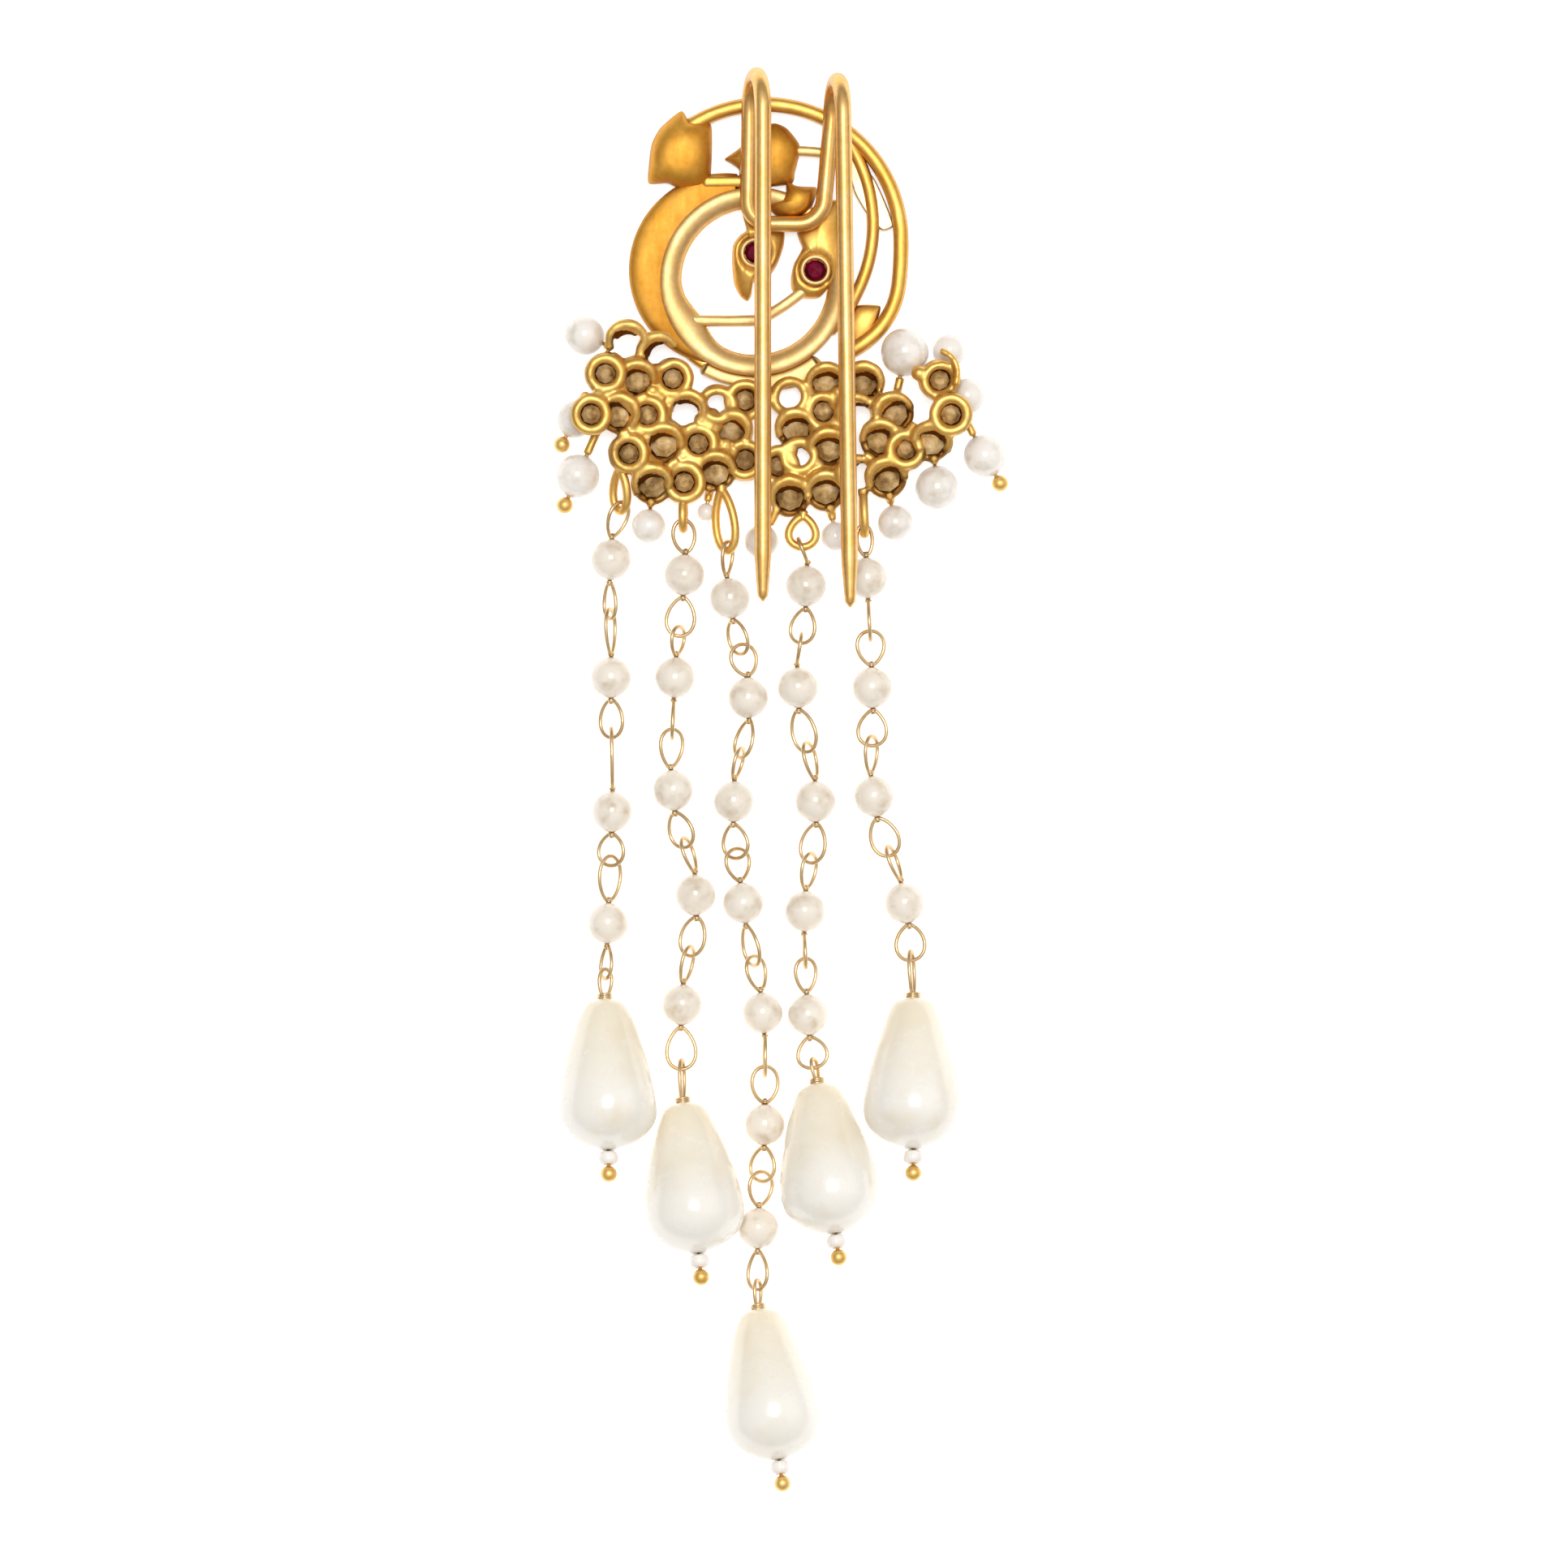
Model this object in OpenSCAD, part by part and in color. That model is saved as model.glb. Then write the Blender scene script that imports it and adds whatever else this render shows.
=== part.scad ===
// Hair bun pin, lying face down: the prongs of its fork are on top, the drops at the -Y end.
// Z = 0 is the surface it lies on, and the origin is the middle of the space it covers.

/* [Fork] */
// Diameter of the fork's wire
fork_wire_d = 1.65; // [1.5:0.05:1.8]
// Height of the prongs' centre line above the limbs' centre line
fork_depth = 7; // [6.8:0.1:7.6]
// Height of the limbs' centre line above the surface
limb_z = 2.5; // [2.45:0.01:2.55]
// Length of the taper at a prong's tip
prong_taper = 4.5; // [3:0.5:6]

/* [Frame] */
// Radius of the ring's outer edge
ring_r = 9.3; // [9.2:0.05:9.4]
// Radius of the hole in the ring
ring_hole_r = 7.2; // [7.1:0.05:7.3]
// Radius of the crescent's outer edge
crescent_r = 9.45; // [9.35:0.05:9.55]
// Height of the ring's back above the surface
ring_h = 2.1; // [2:0.05:2.2]
// Diameter of a bird's ruby eye
ruby_d = 2.2; // [2:0.1:2.3]

/* [Net] */
// Outer diameter of a collet
collet_d = 3.7; // [3.6:0.05:3.8]
// Diameter of a collet's bore
collet_bore_d = 2.2; // [2.1:0.05:2.3]
// Outer diameter of an arched ring
arch_d = 4.3; // [4.2:0.05:4.4]
// Diameter of the gap in an arched ring
arch_bore_d = 3; // [2.9:0.05:3.1]
// Lowest height of the net's middle plane
net_low = 1.8; // [1.7:0.05:1.9]
// Radius of the net's bow from side to side
net_bow_x = 50; // [48:1:54]

/* [Strands] */
// Diameter of a strand's pearls
pearl_d = 4.1; // [3.9:0.1:4.2]
// Thickness of the eye pins' wire
pin_d = 0.42; // [0.38:0.02:0.46]
// Diameter of the drilled holes
bore_d = 0.72; // [0.7:0.02:0.8]
// How far two linked eyes reach past each other
eye_lap = 0.85; // [0.8:0.05:0.95]
// Distance from a pearl to the eye beside it
neck = 0.45; // [0.42:0.01:0.5]

/* [Drops] */
// Diameter of a drop's belly
drop_d = 10; // [9.6:0.1:10]
// Length of a drop
drop_len = 15; // [14.6:0.1:15.2]
// Diameter of the gold ball at the end of a pin
ball_d = 1.6; // [1.4:0.1:1.7]

/* [Hidden] */
$fn = 48;

GOLD = "#e0ac45";
ORANGE_GOLD = "#d9932c";
PALE_GOLD = "#d8c08a";
PEARL = "#ece6df";
CREAM = "#efe9da";
RUBY = "#8c0f3c";
STONE = "#7d6246";

pearl_r = pearl_d / 2;
pin_r = pin_d / 2;
bore_r = bore_d / 2;
fork_r = fork_wire_d / 2;
ball_r = ball_d / 2;
prong_z = limb_z + fork_depth;
// Gap between a pearl or bead and the gold beside it, and round a stone in its seat
bead_gap = 0.12;
seat_gap = 0.12;

// Vectors and aims
function unit(v) = v / norm(v);
function azimuth(v) = atan2(v.y, v.x);
function rise(v) = asin(v.z / norm(v));
function heading(azimuth, rise) = [cos(rise) * cos(azimuth), cos(rise) * sin(azimuth), sin(rise)];

// Places what is drawn along +X so that it starts at a and points at b
module aim(a, b, turn = 0) {
    translate(a)
        rotate([turn, -rise(b - a), azimuth(b - a)])
            children();
}

module rod(a, b, r) {
    aim(a, b)
        rotate([0, 90, 0])
            cylinder(r = r, h = norm(b - a));
}

module wire_arc(radius, from, sweep, r) {
    rotate(from)
        rotate_extrude(angle = sweep)
            translate([radius, 0])
                circle(r = r, $fn = 24);
}

// A ring of wire along +X on a thicker stem, its far side's centre line at x = length
module eye(length, width, r, stem_r = 0.33) {
    turn_r = min(width / 2 - r, length / 2 - 0.1);
    near = length - 2 * turn_r;
    translate([near + turn_r, 0, 0])
        rotate_extrude()
            translate([turn_r, 0])
                circle(r = r, $fn = 24);
    translate([-0.3, 0, 0])
        rotate([0, 90, 0])
            cylinder(r = stem_r, h = near + 0.42, $fn = 24);
}

// A disc with chamfered edges, z from low to high
module disc(r, low, high, chamfer = 0.35) {
    rotate_extrude()
        polygon([
            [0, low], [r - chamfer, low], [r, low + chamfer],
            [r, high - chamfer], [r - chamfer, high], [0, high]
        ]);
}

// A flat-bottomed band along an arc, with chamfered upper edges
module arc_band(radius, width, from, to, low, high, chamfer = 0.4) {
    inner = radius - width / 2;
    outer = radius + width / 2;
    rotate(from)
        rotate_extrude(angle = to - from)
            polygon([
                [inner, low], [outer, low], [outer, high - chamfer], [outer - chamfer, high],
                [inner + chamfer, high], [inner, high - chamfer]
            ]);
}

// An outline cut from a dome whose crown is over the middle
module domed(outline, middle, crown, dome_r) {
    intersection() {
        linear_extrude(crown + 1)
            polygon(outline);
        translate([middle.x, middle.y, crown - dome_r])
            sphere(r = dome_r, $fn = 96);
    }
}

// Frame
RING_AT = [-2.6, 49];
CRESCENT_AT = [-5.5, 50.2];
OUTER_AT = [-1.6, 53];
OUTER_END_AT = [3.3, 49.8];
INNER_AT = [-5.8, 54.6];
outer_r = 13.5;
outer_end_r = 8.5;
inner_r = 14.9;
head_crown = 2.5;
head_dome_r = 9;
LEFT_EYE = [-2.5, 51.8];
RIGHT_EYE = [3.4, 50.1];
LEAF = [
    [-13, 58.7], [-13, 60.4], [-12.7, 62.6], [-11.8, 64.2], [-9.8, 65.8], [-9, 64.8],
    [-7.7, 64.8], [-6.8, 64.2], [-6.9, 59.4], [-7.7, 58.4], [-9.9, 58.2], [-11.2, 58.7]
];
UPPER_BUD = [
    [-5.5, 61.1], [-4, 62.2], [-3, 63.4], [-1.8, 64.2], [-0.6, 64.6], [0.6, 64.1], [1.8, 62.6],
    [1.8, 61.4], [1.4, 59.8], [0.9, 58.6], [-3.8, 58.3], [-4.1, 60], [-5, 60.7]
];
LOWER_BUD = [
    [0.6, 58.9], [1.6, 58.4], [3.4, 58.3], [3.5, 57.6], [2.9, 56], [2.1, 55.3], [1, 55],
    [-0.2, 55.3], [-1, 56], [-1, 56.6], [0.2, 57], [0.5, 57.8]
];
LEFT_HEAD = [
    [-3.7, 55.9], [-1, 54.9], [0.3, 54.3], [0.3, 52.6], [-0.3, 50.8], [-1.1, 49.6], [-2.2, 49.1],
    [-2.8, 48.8], [-2.9, 47.7], [-3.3, 47.1], [-4, 47.6], [-4.6, 48.8], [-4.8, 50.8],
    [-4.7, 52.6], [-4, 53.6], [-3.4, 54.1]
];
RIGHT_HEAD = [
    [1.6, 54.3], [3.4, 55.4], [4.3, 56.8], [5.8, 56.8], [5.9, 52.8], [5.4, 49.2], [4.6, 48.3],
    [3.7, 47.4], [2.1, 47.4], [1.1, 48.2], [1, 49.4], [1.3, 50.8], [2.1, 52.2], [1.8, 53.1]
];
PERCH = [
    [-9.1, 45.7], [-2.2, 45.7], [-1, 46.6], [0.6, 47.5], [1.8, 48.6], [2.5, 47.5],
    [0.6, 46.3], [-1, 45.3], [-2.2, 44.6], [-8.6, 44.6]
];
WEB = [
    [6.6, 60.9], [8, 60.9], [9.1, 59], [10.2, 56.4], [10.9, 54.2], [9.2, 54], [8.6, 55.4], [7.2, 57.8]
];

module ring_and_crescent() {
    difference() {
        union() {
            translate(RING_AT)
                disc(ring_r, 0.1, ring_h);
            translate(CRESCENT_AT)
                disc(crescent_r, 0, ring_h - 0.35, 0.6);
        }
        translate([RING_AT.x, RING_AT.y, -1])
            cylinder(r = ring_hole_r, h = ring_h + 2);
        eye_seat(RIGHT_EYE);
    }
}

module outer_bands() {
    translate(OUTER_AT)
        arc_band(outer_r, 1.5, -12, 118, 0.3, 1.95);
    translate(OUTER_END_AT)
        arc_band(outer_end_r, 1.6, -66, 6, 0.25, 2);
}

module inner_bands() {
    translate(INNER_AT)
        arc_band(inner_r, 1.25, -46, 48, 0.2, 1.85);
    translate(RING_AT)
        arc_band(ring_r + 0.1, 1.4, 195, 250, 0.35, 1.45);
    translate(RING_AT)
        arc_band(ring_r + 0.6, 1.2, 244, 304, 0.3, 1.6);
}

module leaf_and_buds() {
    domed(LEAF, [-10.6, 61], 3.3, 6.5);
    domed(UPPER_BUD, [-1.4, 61], 2.9, 7);
    domed(LOWER_BUD, [1.4, 56.6], 3.2, 5);
    translate([-7.8, 58.2, 0.2])
        cube([4.4, 1.2, 1.8]);
    translate([0, 0, 0.8])
        linear_extrude(0.6)
            polygon(WEB);
    translate([0, 0, 0.5])
        linear_extrude(1.2)
            polygon(PERCH);
}

module eye_seat(at) {
    translate([at.x, at.y, -1])
        cylinder(d = ruby_d + 2 * seat_gap, h = 5);
}

// A bird's head, with an open-backed seat for its eye
module head(outline, middle, eye_at) {
    difference() {
        domed(outline, middle, head_crown, head_dome_r);
        eye_seat(eye_at);
    }
}

// One bent wire: a U on the frame's back, two limbs, two bends and two prongs
U_LEFT = [-1, 56.8];
U_RIGHT = [1.7, 57.2];
u_left_r = 2.2;
u_right_r = 2.6;
LEFT_BEND = [-3.05, 65.47];
LEFT_PRONG = [-1.75, 65.47];
LEFT_TIP = [-1.75, 17.4];
RIGHT_BEND = [5, 64.95];
RIGHT_PRONG = [6.1, 64.95];
RIGHT_TIP = [6.8, 16.8];

module fork_u() {
    translate([U_LEFT.x, U_LEFT.y, limb_z])
        wire_arc(u_left_r, 180, 90, fork_r);
    translate([U_RIGHT.x, U_RIGHT.y, limb_z])
        wire_arc(u_right_r, 270, 90, fork_r);
    rod([U_LEFT.x, U_LEFT.y - u_left_r, limb_z], [U_RIGHT.x, U_RIGHT.y - u_right_r, limb_z], fork_r);
}

// The wire turns over from a limb's end to its prong
module fork_bend(limb_end, prong_start) {
    across = [prong_start.x - limb_end.x, 0, fork_depth];
    bend_r = norm(across) / 2;
    translate([limb_end.x, limb_end.y, limb_z] + across / 2)
        rotate([0, 90 - atan2(across.z, across.x), 0])
            rotate([0, 90, 0])
                wire_arc(bend_r, 0, 180, fork_r);
}

module prong(start, tip) {
    a = [start.x, start.y, prong_z];
    b = [tip.x, tip.y, prong_z];
    straight = norm(b - a) - prong_taper;
    aim(a, b)
        rotate([0, 90, 0])
            rotate_extrude()
                polygon([
                    [0, 0], [fork_r, 0], [fork_r, straight], [0.62 * fork_r, straight + prong_taper - 0.5],
                    [0.35 * fork_r, straight + prong_taper - 0.1], [0, straight + prong_taper]
                ]);
}

module joint(x, y, z) {
    translate([x, y, z])
        sphere(r = fork_r + 0.04);
}

module fork() {
    fork_u();
    joint(U_LEFT.x - u_left_r, U_LEFT.y, limb_z);
    joint(U_LEFT.x, U_LEFT.y - u_left_r, limb_z);
    joint(U_RIGHT.x, U_RIGHT.y - u_right_r, limb_z);
    joint(U_RIGHT.x + u_right_r, U_RIGHT.y, limb_z);
    joint(LEFT_BEND.x, LEFT_BEND.y, limb_z);
    joint(RIGHT_BEND.x, RIGHT_BEND.y, limb_z);
    joint(LEFT_PRONG.x, LEFT_PRONG.y, prong_z);
    joint(RIGHT_PRONG.x, RIGHT_PRONG.y, prong_z);
    rod([U_LEFT.x - u_left_r, U_LEFT.y, limb_z], [LEFT_BEND.x, LEFT_BEND.y, limb_z], fork_r);
    rod([U_RIGHT.x + u_right_r, U_RIGHT.y, limb_z], [RIGHT_BEND.x, RIGHT_BEND.y, limb_z], fork_r);
    fork_bend(LEFT_BEND, LEFT_PRONG);
    fork_bend(RIGHT_BEND, RIGHT_PRONG);
    prong(LEFT_PRONG, LEFT_TIP);
    prong(RIGHT_PRONG, RIGHT_TIP);
}

module frame_fork_and_net() {
    color(GOLD) {
        ring_and_crescent();
        outer_bands();
        inner_bands();
        leaf_and_buds();
        head(LEFT_HEAD, [-2.6, 51.4], LEFT_EYE);
        head(RIGHT_HEAD, [3.6, 51.4], RIGHT_EYE);
        fork();
        net();
    }
}

// Net: collets and arched rings side by side, each at its own height on the bow
// Columns: x, y
COLLETS = [
    [-17.2, 39.8], [-10.6, 39.4], [-18.6, 35.8], [-13.1, 35.8], [-8.1, 33], [-3.5, 37.3],
    [-3.5, 31.4], [-9.5, 29.2], [-14.9, 32], [16.7, 35.8], [12.3, 32.4], [15.6, 39.2],
    [4.2, 36.2], [-0.2, 30.8]
];
// Columns: x, y
OPEN_COLLETS = [[-6.2, 36.8], [1.8, 31.8], [0.9, 37.6]];
// Columns: x, y, turn about the surface's normal
ARCHES = [
    [-14.1, 39.3, 10], [-15.9, 35.9, -20], [-11.5, 33, 15], [-4.8, 34.4, -25], [-6.4, 30.3, 5],
    [-12.6, 29, 20], [4.5, 39, 0], [8.1, 39, -10], [1.5, 34.5, 10], [11.1, 36, 30],
    [9.8, 33.4, -10], [4.7, 32.6, 0], [4.4, 28.4, 0], [10.4, 29.6, 15], [14.8, 33.2, -20],
    [0.9, 27.8, 0]
];
// Columns: x, y, turn about the surface's normal
OPEN_ARCHES = [[-9.2, 36.3, -10], [-15.1, 43, 10], [-12, 41.9, 40], [7.4, 36, 20], [7.5, 29.9, 60]];
net_half = 0.75;

function net_z(x) = net_low + x * x / (2 * net_bow_x);

module at_net(p, turn = 0) {
    translate([p.x, p.y, net_z(p.x)])
        rotate([0, 0, turn])
            children();
}

module collet_body() {
    outer = collet_d / 2;
    rotate_extrude()
        polygon([
            [0, -net_half], [outer - 0.25, -net_half], [outer, -0.15], [outer, 0.4],
            [outer - 0.35, net_half], [0, net_half]
        ]);
}

module arch_body() {
    outer = arch_d / 2;
    rotate_extrude()
        polygon([
            [0, -0.62], [outer - 0.2, -0.62], [outer, -0.3], [outer, 0.3],
            [outer - 0.3, 0.68], [0, 0.68]
        ]);
}

module net_bodies() {
    for (c = concat(COLLETS, OPEN_COLLETS))
        at_net(c)
            collet_body();
    for (a = concat(ARCHES, OPEN_ARCHES))
        at_net(a, a[2])
            arch_body();
}

module net_bores() {
    for (c = concat(COLLETS, OPEN_COLLETS))
        at_net(c)
            cylinder(d = collet_bore_d, h = 6, center = true);
    for (a = concat(ARCHES, OPEN_ARCHES))
        at_net(a, a[2])
            cylinder(d = arch_bore_d, h = 6, center = true);
}

// Ears: eyes of thicker wire soldered to the net, one for each strand
ear_r = 0.42;
ear_slack = 0.22;
// Columns: root, tip, width, turn
EARS = [
    [[-15.8, 30.4, 3.4], [-15.8, 26.4, 2.5], 2.8, 40],
    [[-9.6, 27.5, 2.5], [-9.6, 24.6, 2.3], 2.8, 88],
    [[-5.8, 28.4, 2.2], [-5.2, 22.5, 2.2], 3.1, 30],
    [[2.2, 25.85, 2], [2.05, 22.85, 2.1], 3.5, 0],
    [[8.1, 28, 2.4], [8.2, 24.1, 2.2], 2.8, 80]
];

module ears() {
    for (e = EARS)
        aim(e[0], e[1], e[3])
            eye(norm(e[1] - e[0]), e[2], ear_r, 0.55);
}

// Pearls on pins around the net, each pin on a short post under the net
// Columns: x, y, radius, the post's x and y, radius of the ball at the pin's end
FRINGE = [
    [-19.3, 43.7, 2, -16.9, 42.6, 0], [-20.3, 35.4, 1.85, -19.2, 37.6, 0.8],
    [-20, 29.8, 2.2, -18, 34.35, 0.8], [-13, 24.9, 1.7, -12.8, 27.2, 0],
    [-7.35, 26.3, 0.9, -7, 28.6, 0], [-1.9, 23.4, 1.7, -0.4, 26.5, 0],
    [5.4, 23.9, 1.45, 4.9, 26.65, 0], [11.3, 25.2, 1.8, 10.7, 27.8, 0],
    [15.4, 28.65, 2.2, 15.1, 31.4, 0], [20.1, 31.8, 2.16, 18.2, 35.3, 0.8],
    [18.4, 37.7, 1.8, 15.9, 34.5, 0], [16.6, 42.2, 1.7, 15.2, 37.75, 0],
    [12.2, 42, 2.4, 11.4, 37.8, 0]
];
post_r = 0.45;

function fringe_pearl(f) = [f[0], f[1], f[2]];
function fringe_root(f) = [f[3], f[4], f[2]];
function fringe_way(f) = unit(fringe_pearl(f) - fringe_root(f));

module fringe_posts() {
    for (f = FRINGE)
        translate([f[3], f[4], f[2] - post_r])
            cylinder(r = post_r, h = max(net_z(f[3]) - f[2] + post_r, 2 * post_r));
}

module fringe_pins() {
    for (f = FRINGE) {
        past = f[5] > 0 ? f[2] + bead_gap + f[5] : f[2] / 2;
        rod(fringe_root(f), fringe_pearl(f) + fringe_way(f) * past, pin_r);
        if (f[5] > 0)
            translate(fringe_pearl(f) + fringe_way(f) * past)
                sphere(r = f[5]);
    }
}

module fringe_pearls() {
    color(PEARL)
        for (f = FRINGE)
            aim(fringe_pearl(f), fringe_pearl(f) + fringe_way(f))
                rotate([0, 90, 0])
                    difference() {
                        sphere(r = f[2]);
                        cylinder(r = bore_r, h = 3 * f[2], center = true);
                    }
}

module net() {
    difference() {
        union() {
            net_bodies();
            fringe_posts();
        }
        net_bores();
    }
    ears();
    fringe_pins();
    at_net([13.45, 38.8])
        sphere(r = 0.95);
}

// A cut stone, its table down towards the front
module stone(r) {
    rotate_extrude($fn = 8)
        polygon([
            [0, -0.75], [0.55 * r, -0.75], [r, -0.4], [r, -0.25], [0.5 * r, 0.3], [0, 0.5]
        ]);
}

module net_stones() {
    color(STONE) {
        for (c = COLLETS)
            at_net(c)
                stone(collet_bore_d / 2 - seat_gap);
        for (a = ARCHES)
            at_net(a, a[2])
                stone(arch_bore_d / 2 - seat_gap);
    }
}

module ruby(at) {
    color(RUBY)
        translate([at.x, at.y, 1.55])
            rotate_extrude($fn = 10)
                polygon([
                    [0, -0.8], [0.6, -0.8], [ruby_d / 2, -0.2], [ruby_d / 2, 0.1],
                    [0.65, 0.75], [0, 0.95]
                ]);
}

// Strands
// Points: the tip of the ear, each pearl, and the narrow end of the drop
STRAND_1 = [[-15.8, 26.4], [-16.7, 21.6], [-16.7, 10], [-16.6, -3.2], [-17, -14.2], [-17.3, -21.7]];
STRAND_2 = [
    [-9.6, 24.6], [-9.5, 20.1], [-10.4, 10], [-10.6, -1.1], [-8.4, -11.4], [-9.7, -22.2],
    [-9.6, -31.9]
];
STRAND_3 = [
    [-5.2, 22.5], [-5, 17.8], [-3.2, 8], [-4.6, -2.2], [-3.7, -12.2], [-1.8, -23], [-1.6, -34],
    [-2.2, -44.2], [-2.2, -52.2]
];
STRAND_4 = [
    [2.05, 22.85], [2.5, 19], [1.7, 9], [3.4, -2.2], [2.4, -13], [2.7, -23.2], [3.6, -30]
];
STRAND_5 = [[8.2, 24.1], [8.5, 19.8], [9, 9], [9.2, -1.7], [12.2, -12.2], [13, -21.6]];
// Links: where the eyes cross along the gap, and each eye's width and turn
// Columns: crossing, upper width, upper turn, lower width, lower turn
LINKS_1 = [
    [0, 0, 0, 3, 45], [0.43, 2.4, 50, 3.1, 68], [0.36, 3.1, 32, 3.1, 88], [0.39, 3.2, 25, 3.1, 38],
    [0.54, 2.8, 60, 1.9, 30]
];
LINKS_2 = [
    [0, 0, 0, 2.6, 10], [0.6, 3.2, 5, 2.9, 58], [0.5, 3.1, 88, 3, 30], [0.5, 3.1, 30, 3, 66],
    [0.52, 3.1, 25, 2.9, 62], [0.5, 3.3, 5, 2.6, 75]
];
LINKS_3 = [
    [0, 0, 0, 2.6, 60], [0.53, 3.1, 45, 3.1, 20], [0.56, 3.1, 50, 2.8, 68], [0.52, 3.3, 30, 3.3, 35],
    [0.55, 3, 52, 3.1, 45], [0.54, 3.1, 85, 3.1, 15], [0.5, 3.2, 30, 3.2, 34], [0.6, 3, 40, 1.9, 60]
];
LINKS_4 = [
    [0, 0, 0, 2.6, 85], [0.53, 3.1, 25, 3, 88], [0.54, 3.1, 30, 3, 62], [0.53, 3.1, 25, 3, 55],
    [0.5, 3.1, 85, 2.7, 25], [0.58, 3.4, 10, 2, 65]
];
LINKS_5 = [
    [0, 0, 0, 2, 12], [0.55, 3.1, 88, 3.2, 15], [0.48, 3.3, 10, 3, 60], [0.52, 3.2, 10, 3, 70],
    [0.42, 3.3, 10, 2.8, 75]
];
// Plan direction of each drop from its narrow end
DROP_TURNS = [-88.5, -84, -82, -83, -90];
drop_rise = 11;
// Columns: radius as a share of the belly's, place as a share of the length
DROP_PROFILE = [
    [0.18, 0], [0.27, 0.007], [0.37, 0.023], [0.45, 0.053], [0.53, 0.107], [0.61, 0.173],
    [0.69, 0.253], [0.77, 0.333], [0.85, 0.427], [0.92, 0.52], [0.976, 0.613], [1, 0.693],
    [0.99, 0.76], [0.94, 0.82], [0.84, 0.873], [0.7, 0.92], [0.52, 0.96], [0.32, 0.987], [0.16, 1]
];
drop_outline = [for (p = DROP_PROFILE) [p.x * drop_d / 2, p.y * drop_len]];
drop_lift = max([for (p = drop_outline) p.x * cos(drop_rise) - p.y * sin(drop_rise)]);
// A seed bead's radius and length
seed_r = 1;
seed_len = 1.3;
seed_from = drop_len + bead_gap;
ball_at = seed_from + seed_len + bead_gap + ball_r;

function drop_top(points) = let (p = points[len(points) - 1]) [p.x, p.y, drop_lift];
function last(points) = len(points) - 1;
function spot(points, ear_tip, i) =
    i == 0 ? ear_tip : i == last(points) ? drop_top(points) : [points[i].x, points[i].y, pearl_r];
function lie(points, ear_tip, turn, i) =
    i == last(points) ? heading(turn, drop_rise)
        : unit(spot(points, ear_tip, i + 1) - spot(points, ear_tip, i - 1));
function below(points, ear_tip, turn, i) =
    i == 0 ? ear_tip : spot(points, ear_tip, i) + lie(points, ear_tip, turn, i) * (pearl_r + neck);
function above(points, ear_tip, turn, i) =
    spot(points, ear_tip, i)
        - lie(points, ear_tip, turn, i) * (i == last(points) ? neck : pearl_r + neck);

module strand_pearls(points, ear_tip, turn) {
    color(PEARL)
        for (i = [1 : last(points) - 1])
            aim(spot(points, ear_tip, i), spot(points, ear_tip, i) + lie(points, ear_tip, turn, i))
                rotate([0, 90, 0])
                    difference() {
                        sphere(r = pearl_r);
                        cylinder(r = bore_r, h = 2 * pearl_d, center = true);
                    }
}

// A pearl's pin, with an eye at each end
module eye_pin(points, ear_tip, links, turn, i) {
    up = above(points, ear_tip, turn, i);
    down = below(points, ear_tip, turn, i);
    over = below(points, ear_tip, turn, i - 1);
    under = above(points, ear_tip, turn, i + 1);
    up_len = i == 1 ? norm(over - up) + ear_r + pin_r + ear_slack
        : (1 - links[i - 1][0]) * norm(over - up) + eye_lap / 2;
    union() {
        rod(up, down, pin_r);
        aim(up, over, links[i - 1][4])
            eye(up_len, links[i - 1][3], pin_r);
        aim(down, under, links[i][2])
            eye(links[i][0] * norm(under - down) + eye_lap / 2, links[i][1], pin_r);
    }
}

module strand_wires(points, ear_tip, links, turn) {
    end = last(points);
    color(PALE_GOLD) {
        for (i = [1 : end - 1])
            eye_pin(points, ear_tip, links, turn, i);
        head_pin(points, ear_tip, links, turn);
    }
}

// A drop's pin, with an eye at the narrow end and a ball at the other
module head_pin(points, ear_tip, links, turn) {
    end = last(points);
    top = drop_top(points);
    way = heading(turn, drop_rise);
    up = above(points, ear_tip, turn, end);
    over = below(points, ear_tip, turn, end - 1);
    union() {
        rod(up, top + way * ball_at, pin_r);
        translate(top + way * ball_at)
            sphere(r = ball_r);
        aim(up, over, links[end - 1][4])
            eye((1 - links[end - 1][0]) * norm(over - up) + eye_lap / 2, links[end - 1][3], pin_r);
    }
}

module drop(points, turn) {
    color(CREAM)
        aim(drop_top(points), drop_top(points) + heading(turn, drop_rise))
            rotate([0, 90, 0])
                difference() {
                    rotate_extrude()
                        polygon(concat([[0, 0]], drop_outline, [[0, drop_len]]));
                    translate([0, 0, -1])
                        cylinder(r = bore_r, h = drop_len + 2);
                }
}

module seed(points, turn) {
    aim(drop_top(points), drop_top(points) + heading(turn, drop_rise))
        translate([seed_from + seed_len / 2, 0, 0])
            rotate([0, 90, 0])
                difference() {
                    intersection() {
                        sphere(r = seed_r);
                        cylinder(r = 2, h = seed_len, center = true);
                    }
                    cylinder(r = bore_r, h = 4, center = true);
                }
}

module seed_beads() {
    color(PEARL) {
        seed(STRAND_1, DROP_TURNS[0]);
        seed(STRAND_2, DROP_TURNS[1]);
        seed(STRAND_3, DROP_TURNS[2]);
        seed(STRAND_4, DROP_TURNS[3]);
        seed(STRAND_5, DROP_TURNS[4]);
    }
}

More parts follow.
